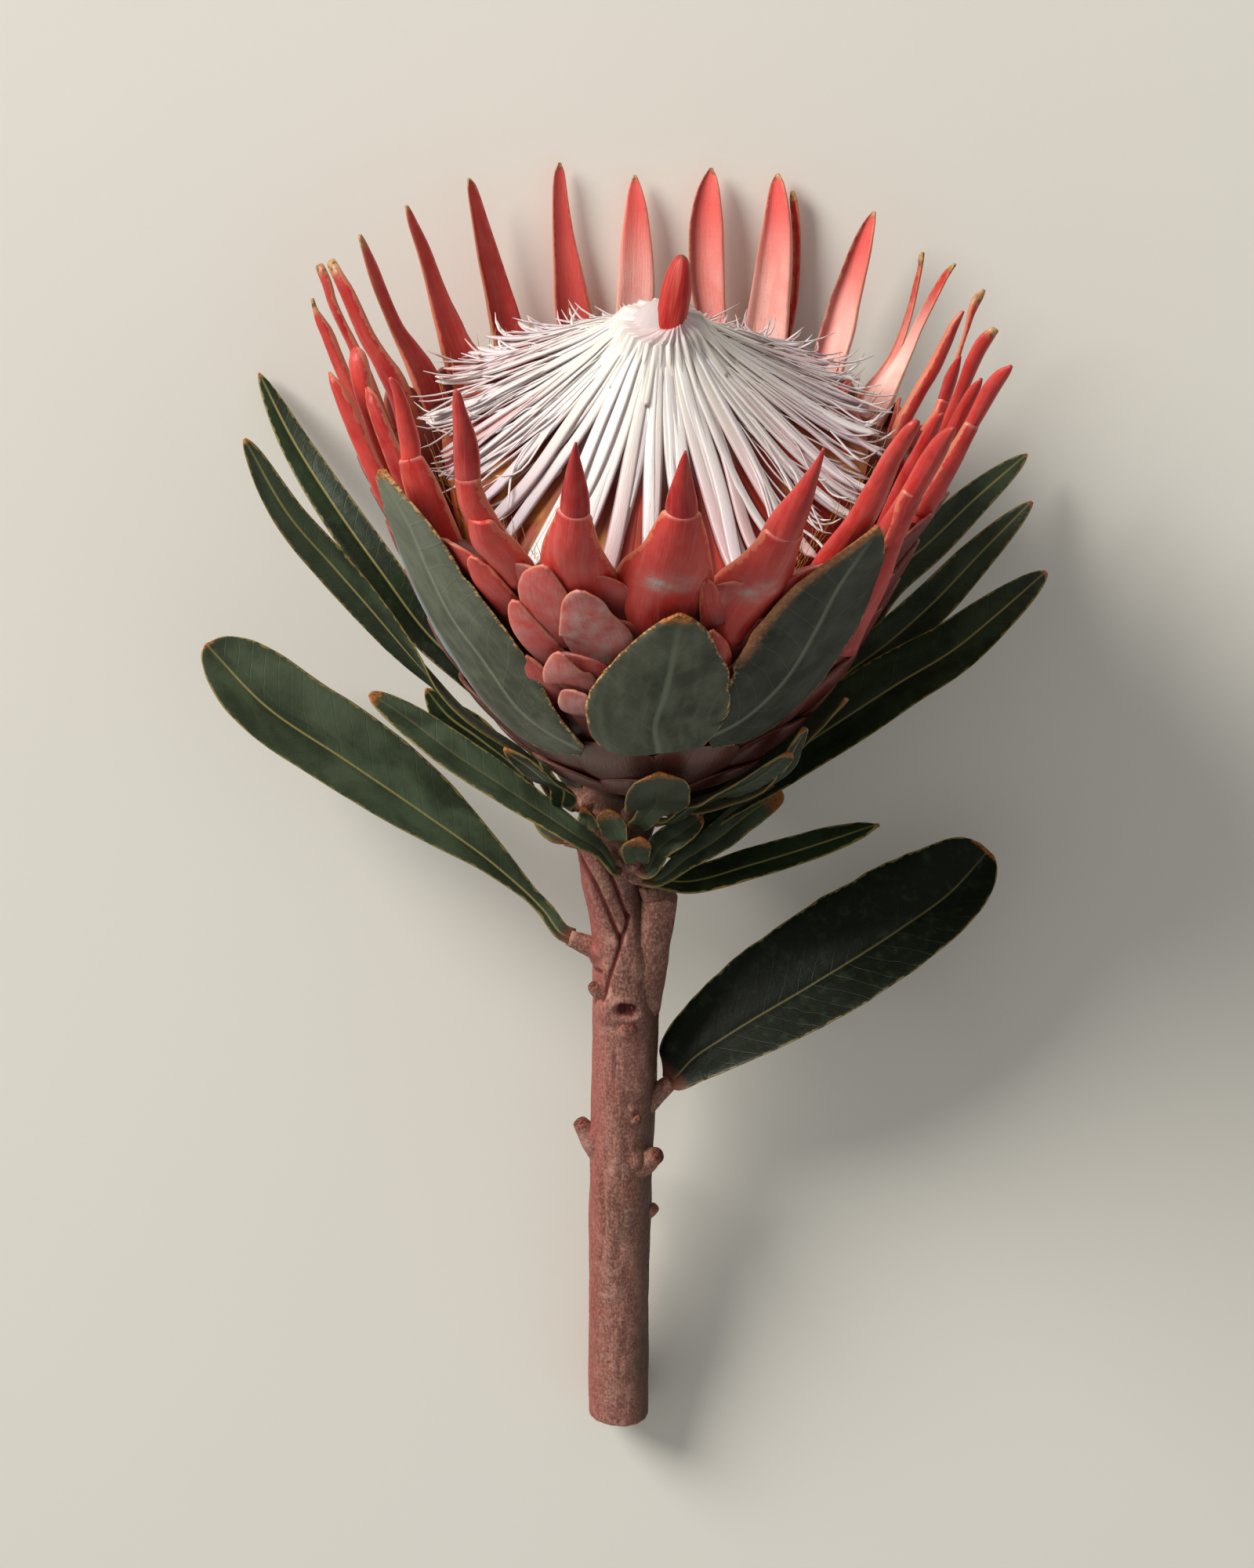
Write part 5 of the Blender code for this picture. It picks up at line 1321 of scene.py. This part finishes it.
# The stem, and where each leaf stands on it.
stemForm = {
    "stations": (
        (0.9, -0.5, -159.5, 6.7), (0.4, -0.2, -145, 6.6), (0, 0, -130, 6.6), (-0.8, 0, -100, 6.9),
        (-0.9, 0, -75, 7.1), (-1.3, 0, -56, 7.3), (-1.9, 0, -41, 7.0), (-3.8, 0, -32, 6.0),
        (-5.4, 0, -24.6, 6.3), (-5.8, 0, -16, 7.4), (-4.6, 0, -7, 8.6), (-3.2, 0, -1.2, 9.1),
        (-3.2, 0, 0.6, 9.1),
    ),
    "shoot": ((0.5, 0, -54, 5.8), (2.6, 0.5, -40, 5.6), (4.2, 0.8, -32, 4.5), (4.9, 1, -26, 3.9)),
    "shootTop": (4.7, 0.9, -29.0),
    # Scars and stubs: azimuth, height, rise, reach out of the bark, radius.
    "scars": (
        (-82, -91.5, 6, 2.6, 2.6), (52, -93, 3.5, 3.0, 2.8), (5, -57, 1.5, 0.9, 2.2),
        (-60, -50, 2, 1.0, 2.0), (22, -80, 1.5, 1.6, 1.3), (88, -107, 1.5, 1.0, 1.8),
        (150, -70, 3, 2.0, 2.4), (-150, -100, 3, 2.0, 2.4), (178, -52, 2, 1.2, 2.2),
    ),
    "rows": 400, "sides": 104, "seat": 1.8, "stalkRun": 2.5, "sunk": -3.0,
    "smooth": 6, "smoothed": (-156.0, -4.0),  # steps each way, and between which heights
    "bark": (0.22, 0.1), "uneven": 0.04,      # how far the bark swells, coarsely and finely
    "stalk": (2.9, 2.3, 1.75), "stub": (1.25, 1.15, 0.85, 0.45),
    # What the photograph shows on the bark: a route of pixels, its half width in pixels,
    # how far it is cut in (or raised, below 0) in millimetres, and how red and how dark it is.
    "marks": (
        (((728, 1075), (740, 1100), (758, 1130), (775, 1165), (786, 1190), (792, 1200)), 3.9, 1.3, 1.0),
        (((767, 1097), (780, 1120), (801, 1170)), 3.4, 1.2, 1.0),
        (((803, 1170), (795, 1195), (785, 1225), (776, 1250), (770, 1275)), 3.0, 0.7, 1.0),
        (((776, 1290), (791, 1289), (806, 1290)), 17, -0.9, 0.0),
        (((794, 1288), (805, 1289)), 8, 2.4, 1.0),
        (((747, 1258), (753, 1275)), 9, 0.7, 0.8),
        (((732, 1205), (753, 1218)), 12, -1.1, 0.5),
        (((730, 1222), (752, 1233), (766, 1240)), 2.6, 0.6, 1.0),
        (((732, 1434), (744, 1450)), 14, -1.6, 0.1),
        (((738, 1440), (742, 1450)), 6.5, 1.6, 0.9),
        (((808, 1418), (812, 1428)), 7, -1.0, 0.6),
        (((818, 1482), (838, 1478)), 13, -1.5, 0.1),
        (((816, 1490), (828, 1488), (840, 1486)), 3.4, 1.6, 1.0),
        (((831, 1615), (834, 1630)), 5, 0.9, 0.9),
        (((803, 1590), (812, 1630), (818, 1680)), 6, -0.25, -0.2),
        (((742, 1330), (750, 1360), (749, 1400)), 6, -0.2, -0.2),
        (((786, 1345), (783, 1385), (788, 1420)), 2.2, 0.3, 0.5),
        (((768, 1500), (772, 1560), (766, 1610)), 2.4, 0.3, 0.4),
        (((822, 1330), (828, 1372)), 5, -0.4, 0.3),
    ),
}
stemStations = np.array(stemForm["stations"])


def stemMiddle(height):
    # The stem's middle and radius at a height along the axis, below the head's base.
    rows = stemStations
    x, y, radius = (np.interp(height, rows[:, 2], rows[:, k]) for k in (0, 1, 3))
    x, y = np.asarray(x)[..., None], np.asarray(y)[..., None]
    return headBase + np.asarray(height)[..., None] * axisWay + x * rightWay + y * frontWay, radius


def onStem(azimuth, height, clear):
    # A point this far out from the stem's surface.
    middle, radius = stemMiddle(float(height))
    return middle + (float(radius) + clear) * outward(azimuth)


def markShares(points):
    # How far each mark on the bark reaches a point that faces the eye: 1 on its route, fading
    # as the square of the distance in the photograph. Returns the cut and the colour.
    seen = points - np.array([0.0, 0.0, headBase[2]])
    depth = seen @ towardEye
    near = (lie["eye"] - depth) / lie["eye"]
    across, up = photo["scale"] * seen[..., 0] / near, photo["scale"] * (seen @ upWay) / near
    shown = np.stack([photo["x"] + across, photo["y"] - up], axis=-1)
    cut, red = np.zeros(depth.shape), np.zeros(depth.shape)
    for route, width, deep, tone in stemForm["marks"]:
        gap = np.full(depth.shape, 1e6)
        for start, end in zip(np.array(route[:-1], float), np.array(route[1:], float)):
            along = np.clip(((shown - start) @ (end - start)) / ((end - start) @ (end - start)), 0, 1)
            gap = np.minimum(gap, np.linalg.norm(shown - start - along[..., None] * (end - start), axis=-1))
        share = np.exp(-(gap / width) ** 2 if tone < 0 or width < 4 else -(gap / width) ** 4)
        cut, red = cut + deep * share, red + tone * share
    return cut, red


leafForm = {
    "thick": 1.1, "edge": 0.75, "rows": 64, "uneven": 0.02, "wave": 0.35, "foldPower": 1.4,
    # The groove of the midrib: its depth on the upper and the under face, and its width.
    "groove": 0.22, "rib": 0.34, "ribWidth": 0.55,
    # The stalk's half width, which fades out along the leaf, and the least height of the faces.
    "stalk": 1.95, "floor": 0.4, "upperFloor": 1.2,
    "half": (0.0, 0.03, 0.08, 0.2, 0.36, 0.52, 0.68, 0.82, 0.92, 0.975, 1.0),
}
leafSpots = [-place for place in leafForm["half"][:0:-1]] + list(leafForm["half"])


def leafPlans():
    # Every leaf: where its stalk starts, its base, its route, its faces and its form.
    plans = {}

    def plan(name, root, base, route, faces, width, **form):
        route = [base, base + unit(base - root) * stemForm["stalkRun"]] + route
        values = dict(belly=0.55, tipRound=0.6, folds=(12.0, 12.0), shift=0.0, dry=0.5, pale=0.0, rib=1.0)
        plans[name] = dict(values, root=root, base=base, route=route, faces=faces, width=width, **form)

    def fromStem(name, azimuth, height, route, faces, width, **form):
        root, base = onStem(azimuth, height, stemForm["sunk"]), onStem(azimuth, height, stemForm["seat"])
        plan(name, root, base, route, faces, width, **form)

    down = -axisWay
    plan("leaf_large_left", onStem(-80, -41, stemForm["sunk"]), drawn(-11.5, -33, -16), [
        drawn(-17.5, -27.3, -15), drawn(-28, -17.5, -14), drawn(-42.7, -6.8, -12),
        drawn(-60, 5, -10), drawn(-77, 16.5, -9), drawn(-89.7, 29.7, -10),
    ], (turned(0.1, 0.4, 0.9), turned(0.15, 0.3, 0.9)), 19.5, folds=(10, 10), shift=-0.2, pale=0.7, profile=(
        (0, 0.06), (0.1, 0.14), (0.23, 0.36), (0.34, 0.62), (0.45, 0.84), (0.6, 0.98), (0.72, 1),
        (0.85, 0.95), (0.93, 0.74), (0.97, 0.5), (0.99, 0.3), (1, 0.02)))
    # This leaf's pale below 0 is painted shade, for it lies on the shaded right.
    plan("leaf_large_right", onStem(75, -79, stemForm["sunk"]), drawn(8.8, -63.7, -33), [
        drawn(13.5, -59, -32), drawn(21, -53.8, -31), drawn(39.3, -42.8, -30),
        drawn(58, -31, -28), drawn(69, -23, -27), drawn(77, -14.2, -26),
    ], (turned(-0.1, 0.35, 0.9), turned(-0.1, 0.3, 0.9)), 27.0, belly=0.55, tipRound=0.36,
         folds=(6, 20), shift=0.14, pale=-0.8, rib=0.5)
    fromStem("leaf_left_low", 2, -14.5, [
        drawn(-6, -14.2, 6.5), drawn(-11, -11, 10), drawn(-19, -5.7, 9), drawn(-27.8, 0.2, 9),
        drawn(-36.8, 6.2, 8.5), drawn(-45.8, 13, 7), drawn(-54.7, 19.2, 6),
    ], (turned(0.6, 0.4, 0.7), turned(0.1, 0.45, 0.9)), 9.4,
             belly=0.6, tipRound=0.45, dry=1.4, pale=0.8, rib=0.25)
    fromStem("leaf_left_outer", -84, -3.5, [
        byBowl(-84, 7, 4.2), byBowl(-84, 17, 6), drawn(-44, 25.3, 11), drawn(-55, 38, 14),
        drawn(-63, 47, 17), drawn(-71, 56, 22), drawn(-81.3, 73.3, 30),
    ], (down, turned(-0.2, 0.3, 0.9)), 8.6, belly=0.55, tipRound=0.45, pale=0.5)
    fromStem("leaf_left_upper", -112, -5.6, [
        byBowl(-110, 8, 4.8), byBowl(-108, 18, 5.6), drawn(-42.5, 32, -5), drawn(-52, 44.7, -6),
        drawn(-61.5, 58, -9), drawn(-71.2, 73.3, -14), drawn(-78.3, 87.3, -18),
    ], (turned(-0.4, 0.3, 0.8), turned(0.1, 0.2, 0.95)), 8.6, belly=0.6, tipRound=0.6)
    fromStem("leaf_left_dark", -90, -13.6, [
        drawn(-18.3, -5, -8.5), drawn(-22.5, 2.6, -8.5), drawn(-31, 9.5, -8), drawn(-38, 14.5, -7),
        drawn(-42.8, 20.3, -6),
    ], (down, turned(-0.3, 0.4, 0.8)), 9.5)
    fromStem("leaf_left_short", -60, -2.4, [
        byBowl(-46, 7, 2.6), byBowl(-44, 11.5, 3), byBowl(-46, 16, 3), byBowl(-50, 20, 4),
    ], (down, turned(-0.5, -0.3, 0.8)), 7.0, dry=1.0)
    fromStem("leaf_right_upper", 116, -7, [
        byBowl(112, 10, 4.2), byBowl(109, 22, 5.2), drawn(55, 43.3, -5), drawn(64, 51, -7),
        drawn(74, 60.5, -10), drawn(85, 70, -15),
    ], (turned(0.4, 0.3, 0.8), turned(-0.1, 0.2, 0.95)), 9.5, belly=0.6, tipRound=0.55, pale=0.5)
    fromStem("leaf_right_middle", 97, -4.6, [
        byBowl(98, 8, 3.6), byBowl(98, 18, 5), drawn(46, 22.7, 1), drawn(55, 29.5, 3),
        drawn(65, 38.3, 4), drawn(75, 48.7, 5), drawn(86.2, 60, 7),
    ], (turned(0.4, 0.2, 0.8), turned(-0.1, 0.4, 0.9)), 9.5, belly=0.6, tipRound=0.55, pale=0.45)
    fromStem("leaf_right_outer", 78, -14, [
        drawn(18, -4.5, 1), drawn(32, 4.4, 6.5), drawn(46, 13.6, 12), drawn(58, 21.4, 14),
        drawn(69, 28, 15), drawn(79.5, 36.5, 15), drawn(89.2, 45, 14),
    ], (turned(0.1, 0.35, 0.9), turned(-0.2, 0.4, 0.9)), 15.5,
             belly=0.5, tipRound=0.5, folds=(8, 20), pale=0.15)
    fromStem("leaf_right_tucked", 76, -2.4, [
        byBowl(65, 9, 1.6), byBowl(62, 20, 2.2), byBowl(61, 33, 4),
    ], (outward(62), outward(62)), 10, belly=0.65, tipRound=0.4)
    fromStem("leaf_right_curled", 60, -2.6, [
        byBowl(52.5, 6, 7), byBowl(48, 17, 6.6), byBowl(44, 26, 5), byBowl(42, 32.5, 5.2),
    ], (outward(50), outward(42)), 6.5, belly=0.65, tipRound=0.4)
    fromStem("leaf_right_spoon", 34, -2.8, [
        byBowl(30, 6, 3), byBowl(31, 12, 4), byBowl(35, 19, 6), byBowl(39, 27, 7.2),
    ], (outward(30), outward(38)), 7.5, belly=0.7, tipRound=0.3, rib=0.3)
    fromStem("leaf_shoot_front", 51, -19.5, [
        drawn(12.7, -16, -1.0), drawn(19, -12, 3.0), drawn(25.3, -7, 6.5), drawn(33, -1.7, 9.5),
    ], (turned(-0.1, 0.4, 0.9), turned(-0.1, 0.35, 0.93)), 7.5,
             belly=0.7, tipRound=0.28, dry=2.4, pale=0.8, rib=0.5)
    plan("leaf_shoot_long", byAxis(*stemForm["shootTop"]), drawn(4.3, -22.0, -7.6), [
        drawn(12.3, -21.0, -7.2), drawn(26.7, -17.3, -6), drawn(41.7, -12.7, -5), drawn(53.7, -8.7, -4),
    ], (turned(-0.1, 0.6, 0.8), turned(-0.2, 0.5, 0.8)), 8.5, profile=(
        (0, 0.4), (0.12, 0.68), (0.3, 0.92), (0.5, 1), (0.75, 0.85), (0.92, 0.5), (1, 0.05)))
    fromStem("leaf_blunt_small", 38, -16, [
        drawn(7, -13.6, 3.6), drawn(11.5, -10.4, 6), drawn(16, -7, 8.4),
    ], (turned(-0.2, 0.3, 0.9), turned(-0.2, 0.1, 0.9)), 6.2, belly=0.6, tipRound=0.3, pale=0.4, rib=0.2)
    fromStem("small_bract_broad", 10, -2.4, [
        byBowl(6, 5.5, 2.6), byBowl(5, 13, 2.6), byBowl(4, 23, 3),
    ], (outward(6), outward(4)), 14.0, dry=0.8, pale=0.35, rib=0.1, profile=(
        (0, 0.3), (0.28, 0.4), (0.42, 0.85), (0.55, 1), (0.82, 0.97), (0.94, 0.8), (0.98, 0.5), (1, 0.1)))
    fromStem("small_bract_grey", 1, -6.6, [drawn(-2.8, -9, 11.5), drawn(-4.6, -5.6, 16)],
             (down, turned(-0.1, -0.3, 0.9)), 6.4, belly=0.6, tipRound=0.35, dry=1.4, pale=0.6, rib=0.1)
    fromStem("small_bract_brown", 23, -12.4, [drawn(1.8, -14, 8), drawn(2.8, -11.6, 13.5)],
             (down, turned(0.1, -0.3, 0.9)), 6.5, belly=0.6, tipRound=0.35, dry=1.8, pale=0.5, rib=0.1)
    fromStem("small_bract_pale", -33, -5, [drawn(-8, -7.6, 8.5), drawn(-9.2, -4.8, 12)],
             (down, turned(-0.5, -0.2, 0.8)), 5.0, belly=0.4, tipRound=0.6, dry=1.0, pale=1.2, rib=0.1)
    fromStem("leaf_back_left", -145, -5, [
        byBowl(-142, 10, 3.5), byBowl(-138, 25, 4), byBowl(-133, 43, 5), byBowl(-129, 62, 5),
    ], (outward(-143), outward(-130)), 12.0, belly=0.6)
    fromStem("leaf_back_right", 142, -5, [
        byBowl(139, 10, 3.5), byBowl(136, 26, 4), byBowl(131, 45, 5), byBowl(127, 65, 5),
    ], (down, outward(128)), 12.0, belly=0.6)
    fromStem("leaf_under_left", -160, -14, [
        np.array([-15.0, 4, 16]), np.array([-21.0, 20, 5]), np.array([-25.0, 38, 2.2]),
    ], (down, turned(-0.1, 0.1, -0.9)), 10.0, belly=0.6)
    fromStem("leaf_under_right", 158, -15, [
        np.array([19.0, 2, 16]), np.array([27.0, 18, 5]), np.array([33.0, 36, 2.2]),
    ], (down, turned(0.1, 0.1, -0.9)), 10.0, belly=0.6)
    fromStem("leaf_under_middle", 180, -7, [
        np.array([4.0, 6, 17]), np.array([5.0, 18, 9]), np.array([5.0, 33, 3.4]),
    ], (down, turned(0.0, 0.1, -0.9)), 9.0, belly=0.6)
    return plans


def leafShape(along, belly, tipRound):
    # The share of its full width that a leaf has along its length, widest at the belly.
    slope = tipRound * belly / (1 - belly)
    peak = belly**slope * (1 - belly) ** tipRound
    return along**slope * (1 - along) ** tipRound / peak


def leafSkin(plan, seed):
    # A leathery leaf: a smooth midrib, a blade folded up along it on both sides, and a
    # raised rib under a shallow groove.
    t = np.linspace(0, 1, leafForm["rows"])
    places = 0.5 * t + 0.5 * (0.5 - 0.5 * np.cos(math.pi * t))
    middle = smoothThrough(plan["route"], places)
    along = unit(np.gradient(middle, axis=0))
    up = plan["faces"][0] + (plan["faces"][1] - plan["faces"][0]) * places[:, None]
    left = unit(np.cross(up, along))
    up = np.cross(along, left)
    shape = leafShape(np.clip(places, 0.0, 0.9985), plan["belly"], plan["tipRound"])
    if "profile" in plan:
        shape = easeThrough(places, *zip(*plan["profile"]))
    half = np.maximum(plan["width"] / 2 * shape, leafForm["stalk"] * (1 - places) + 0.04)
    across, face, body = bladeRing(leafSpots)
    form, reach, low = leafForm, np.abs(across), places[:, None]
    uneven = form["uneven"] * ripple(low * 11, np.sign(across) * 4, seed) * reach
    fold = np.radians(np.where(across > 0, *plan["folds"]))
    share = np.where(across > 0, 1 + plan["shift"], 1 - plan["shift"]) * (1 + uneven)
    out = half[:, None] * across * share * np.cos(fold)
    rise = half[:, None] * reach ** form["foldPower"] * share * np.sin(fold)
    rise = rise + form["wave"] * shape[:, None] * reach**2 * ripple(low * 5, across * 1.2, seed + 3)
    groove = np.where(face > 0, -form["groove"], -form["rib"]) * np.exp(-(out / form["ribWidth"]) ** 2)
    groove = groove * soften(-low, -0.97, -0.6)
    thick = form["thick"] + (form["edge"] - form["thick"]) * reach
    offset = rise + groove + 0.5 * thick * face * body
    rows = middle[:, None] + out[..., None] * left[:, None] + offset[..., None] * up[:, None]
    rows[..., 2] = np.maximum(rows[..., 2], np.where(face > 0, form["upperFloor"], form["floor"]))
    length = np.linalg.norm(np.diff(middle, axis=0), axis=1).sum()
    s = low * length
    return closedSkin(
        rows, grain=triple(out, s, seed * 3.0),
        edge=triple(half[:, None] * (1 - reach), length - s, face),
        look=triple((length - s) / max(plan["dry"], 0.05), plan["pale"], s), lane=(plan["rib"], 0.0, 0.0),
    )


# Leathery green: mottled, with a yellow midrib, slanting veins, a thin brown margin, painted sheen and
# painted shade.
leafPaint = {
    "fixed": {"Specular IOR Level": 0.2}, "rim": 0.45, "veins": (0.9, 4.2),
    "tones": {
        "green": "24331c", "dark": "151e0d", "light": "3e4f31", "paintedShade": "0d1306", "under": "666b5c",
        "rib": "968c55", "rim": "8c7a42", "brown": "6e4f2c", "orange": "b06a34", "stalk": "7a4a3c",
        "grey": "64705a",
    },
    "marks": {
        "grain": ("x", "y", "seed"), "edge": ("margin", "toTip", "face"),
        "look": ("dryReach", "pale", "fromBase"), "lane": ("ribShare",),
    },
    "clouds": {
        "patch": ("grain", 0.09, 4.0, (1.4, 0.7, 1.0), 0.5), "fine": ("grain", 1.6, 3.0),
        "mottle": ("grain", 0.4, 4.0), "dents": ("grain", 0.5, 3.0),
    },
    "mixes": {"tipReach": (("dryReach",), ("fine", 1.5))},
    "tone": (
        # Where pale is above 0 the grey is partly a real paler grey and partly a painted sheen; below 0 it is
        # painted shade.
        "green", ("dark", ("patch", 0.3, 0.7)), ("paintedShade", ("pale", 0, -1)),
        ("grey", "pale", ("patch", 0.25, 0.7, 0.75, 0.2)), ("light", ("mottle", 0.5, 0.8, 0, 0.35)),
        ("light", "veins", ("pale", -0.3, 0.1, 0.03, 0.14)), ("under", ("face", 0.2, -0.2), 0.85),
        ("rib", ("away", 0.34, 0.1), ("toTip", 0.5, 12, 0.35, 0.8), "ribShare"), ("rim", "rim", 0.85),
        (("orange", ("brown", ("fine", 0.4, 0.65))), ("tipReach", 3.2, 1.4), 0.9),
        ("stalk", ("fromBase", 4.5, 1, 0, 0.8)),
    ),
    "rough": ((("patch", 0.3, 0.7, 0.36, 0.5),),),
    "relief": (("fine", 0.5), ("veins", -0.5), ("dents", 1.2)), "bump": (0.35, 0.22),
}


leafGreen = makePaint("leafGreen", leafPaint)
plans = leafPlans()
for k, (name, plan) in enumerate(plans.items()):
    makePiece(name + "_fine", [leafSkin(plan, k + 2)], leafGreen, name)
print("leaves are made:", len(plans))


def stemSkin():
    # The bark: a ring round the stem's middle at each height, swollen and grooved a little.
    heights = np.linspace(stemForm["stations"][0][2], stemForm["stations"][-1][2], stemForm["rows"])
    middle, radius = stemMiddle(heights)
    near = stemForm["smooth"]
    window = np.ones(2 * near + 1) / (2 * near + 1)
    smoothed = np.convolve(np.pad(radius, near, mode="edge"), window, mode="valid")
    first, last = stemForm["smoothed"]
    radius = np.where((heights > first) & (heights < last), smoothed, radius)
    azimuths = np.arange(stemForm["sides"]) * 360 / stemForm["sides"]
    turn, out = np.radians(azimuths), outward(azimuths)
    x, y, low = np.cos(turn)[None], np.sin(turn)[None], heights[:, None]
    coarse, fine = stemForm["bark"]
    bark = coarse * ripple(x * 2 + low / 13, y * 2, 21) + fine * ripple(x * 7 + low / 3, y * 7, 22)
    reach = radius[:, None] + bark
    facing = soften(out @ towardEye, 0.0, 0.25)[None]
    cut, red = markShares(middle[:, None] + reach[..., None] * out)
    rows = middle[:, None] + (reach - cut * facing)[..., None] * out
    rows[..., 2] = np.maximum(rows[..., 2], 0.0)
    return closedSkin(
        rows, grain=triple(turn * 7, low, 1.0),
        look=triple(0.0, red * facing, soften(-np.abs(low - heights[0]), -0.4, 0.0)),
        # The lane runs from the left, painted redder, to the right and the top under the head, painted shade.
        lane=triple(out[:, 0] + 1.4 * soften(low, -13, -5), 0.0, 0.0),
    )


def branchSkin(route, radii, sides, rows, kind, seed):
    # A tube through the points of a route: a shoot, a leaf's stalk or the stub of an old leaf.
    share = np.linspace(0, 1, rows)
    middles = smoothThrough(route, share)
    size = easeThrough(share, np.linspace(0, 1, len(radii)), radii)[:, None]
    turns = np.arange(sides) * 2 * math.pi / sides
    swell = 1 + stemForm["uneven"] * ripple(share[:, None] * 4, turns, seed)
    skin, ring = tubeRings(middles, size * swell)
    skin[..., 2] = np.maximum(skin[..., 2], 0.0)
    length = np.linalg.norm(np.diff(middles, axis=0), axis=1).sum()
    return closedSkin(
        skin, grain=triple(turns * size, share[:, None] * length - 60 + seed, float(seed)),
        look=triple(kind * soften(share, 0.5, 1.0)[:, None], 0.0, 0.0),
        # Painted shade on the right of each tube, and redder on its left.
        lane=triple(0.6 * ring[..., 0], 0.0, 0.0),
    )


def makeStem(material):
    # The bark, the side shoot, the stalk under each leaf, and the scars and stubs.
    skins = [stemSkin()]
    shoot = [byAxis(*row[:3]) for row in stemForm["shoot"]]
    skins.append(branchSkin(shoot, [row[3] for row in stemForm["shoot"]], 40, 60, 0.0, 31))
    for k, plan in enumerate(plans.values()):
        way = unit(plan["base"] - plan["root"])
        route = [plan["root"], (plan["root"] + plan["base"]) / 2, plan["base"] + way * 0.9]
        skins.append(branchSkin(route, stemForm["stalk"], 20, 12, 0.3, 40 + k))
    for k, (azimuth, height, rise, reach, radius) in enumerate(stemForm["scars"]):
        root = onStem(azimuth, height, stemForm["sunk"])
        middle = onStem(azimuth, height + rise, 0.4 * reach)
        end = onStem(azimuth, height + 1.4 * rise, reach)
        lip = end + unit(middle - end) * 0.5
        sizes = [radius * part for part in stemForm["stub"]]
        skins.append(branchSkin([root, middle, end, lip], sizes, 24, 18, 1.0, 80 + k))
    makePiece("stem_fine", skins, material, "stem")


# Mauve-brown bark: mottled patches, pale lengthwise streaks, many fine dark specks, and painted shade on the
# right.
stemPaint = {
    "fixed": {"Specular IOR Level": 0.35},
    "tones": {
        "mauve": "976257", "brown": "7a5042", "pale": "c79888", "speck": "5c3029", "pink": "a9584e",
        "olive": "77664c", "grey": "8b7f78", "scar": "8c4a34", "scarDark": "4a1f18", "groove": "5a1512",
        "left": "93403c", "right": "3f2c20", "wood": "b59a78",
    },
    "marks": {"grain": ("x", "y", "seed"), "look": ("scar", "groove", "cut"), "lane": ("sideways",)},
    "clouds": {
        "patch": ("object", 90.0, 4.0, (1.0, 0.45, 1.0), 0.6),
        "blotch": ("object", 210.0, 4.0, (1.0, 1.0, 1.0), 0.4),
        "speck": ("object", 1500.0, 2.0), "mottle": ("object", 1900.0, 3.0, (1.0, 0.6, 1.0)),
        "bark": ("grain", 1.0, 3.0, (1.8, 0.2, 1.0)), "flush": ("object", 60.0, 3.0),
        "moss": ("object", 75.0, 4.0, (1.0, 0.5, 1.0), 0.8),
    },
    "tone": (
        "mauve", ("brown", ("patch", 0.35, 0.65)), ("pale", ("blotch", 0.5, 0.75, 0, 0.6)),
        ("pink", ("flush", 0.55, 0.7, 0, 0.5)), ("olive", ("moss", 0.52, 0.66, 0, 0.6)),
        ("grey", ("bark", 0.5, 0.75, 0, 0.25)), ("pale", ("mottle", 0.42, 0.66, 0, 0.45)),
        ("speck", ("speck", 0.5, 0.66, 0, 0.5)), ("pale", ("groove", -0.05, -0.4, 0, 0.6)),
        # Redder on the left; painted shade on the right side and under the head.
        ("left", ("sideways", -0.35, -1.05, 0, 0.6)), ("right", ("sideways", 0.25, 0.95, 0, 0.85)),
        (("scar", ("scarDark", ("speck", 0.4, 0.6))), ("scar", 0.55, 0.95, 0, 0.9)),
        ("groove", ("groove", 0.2, 0.8, 0, 0.9)), ("wood", ("cut", 0.2, 0.8)),
    ),
    "rough": ((("blotch", 0.3, 0.7, 0.55, 0.75),),),
    "relief": (("speck", 0.6), ("bark",), ("blotch",)), "bump": (0.6, 0.3),
}


makeStem(makePaint("stemBark", stemPaint))
print("stem is made")
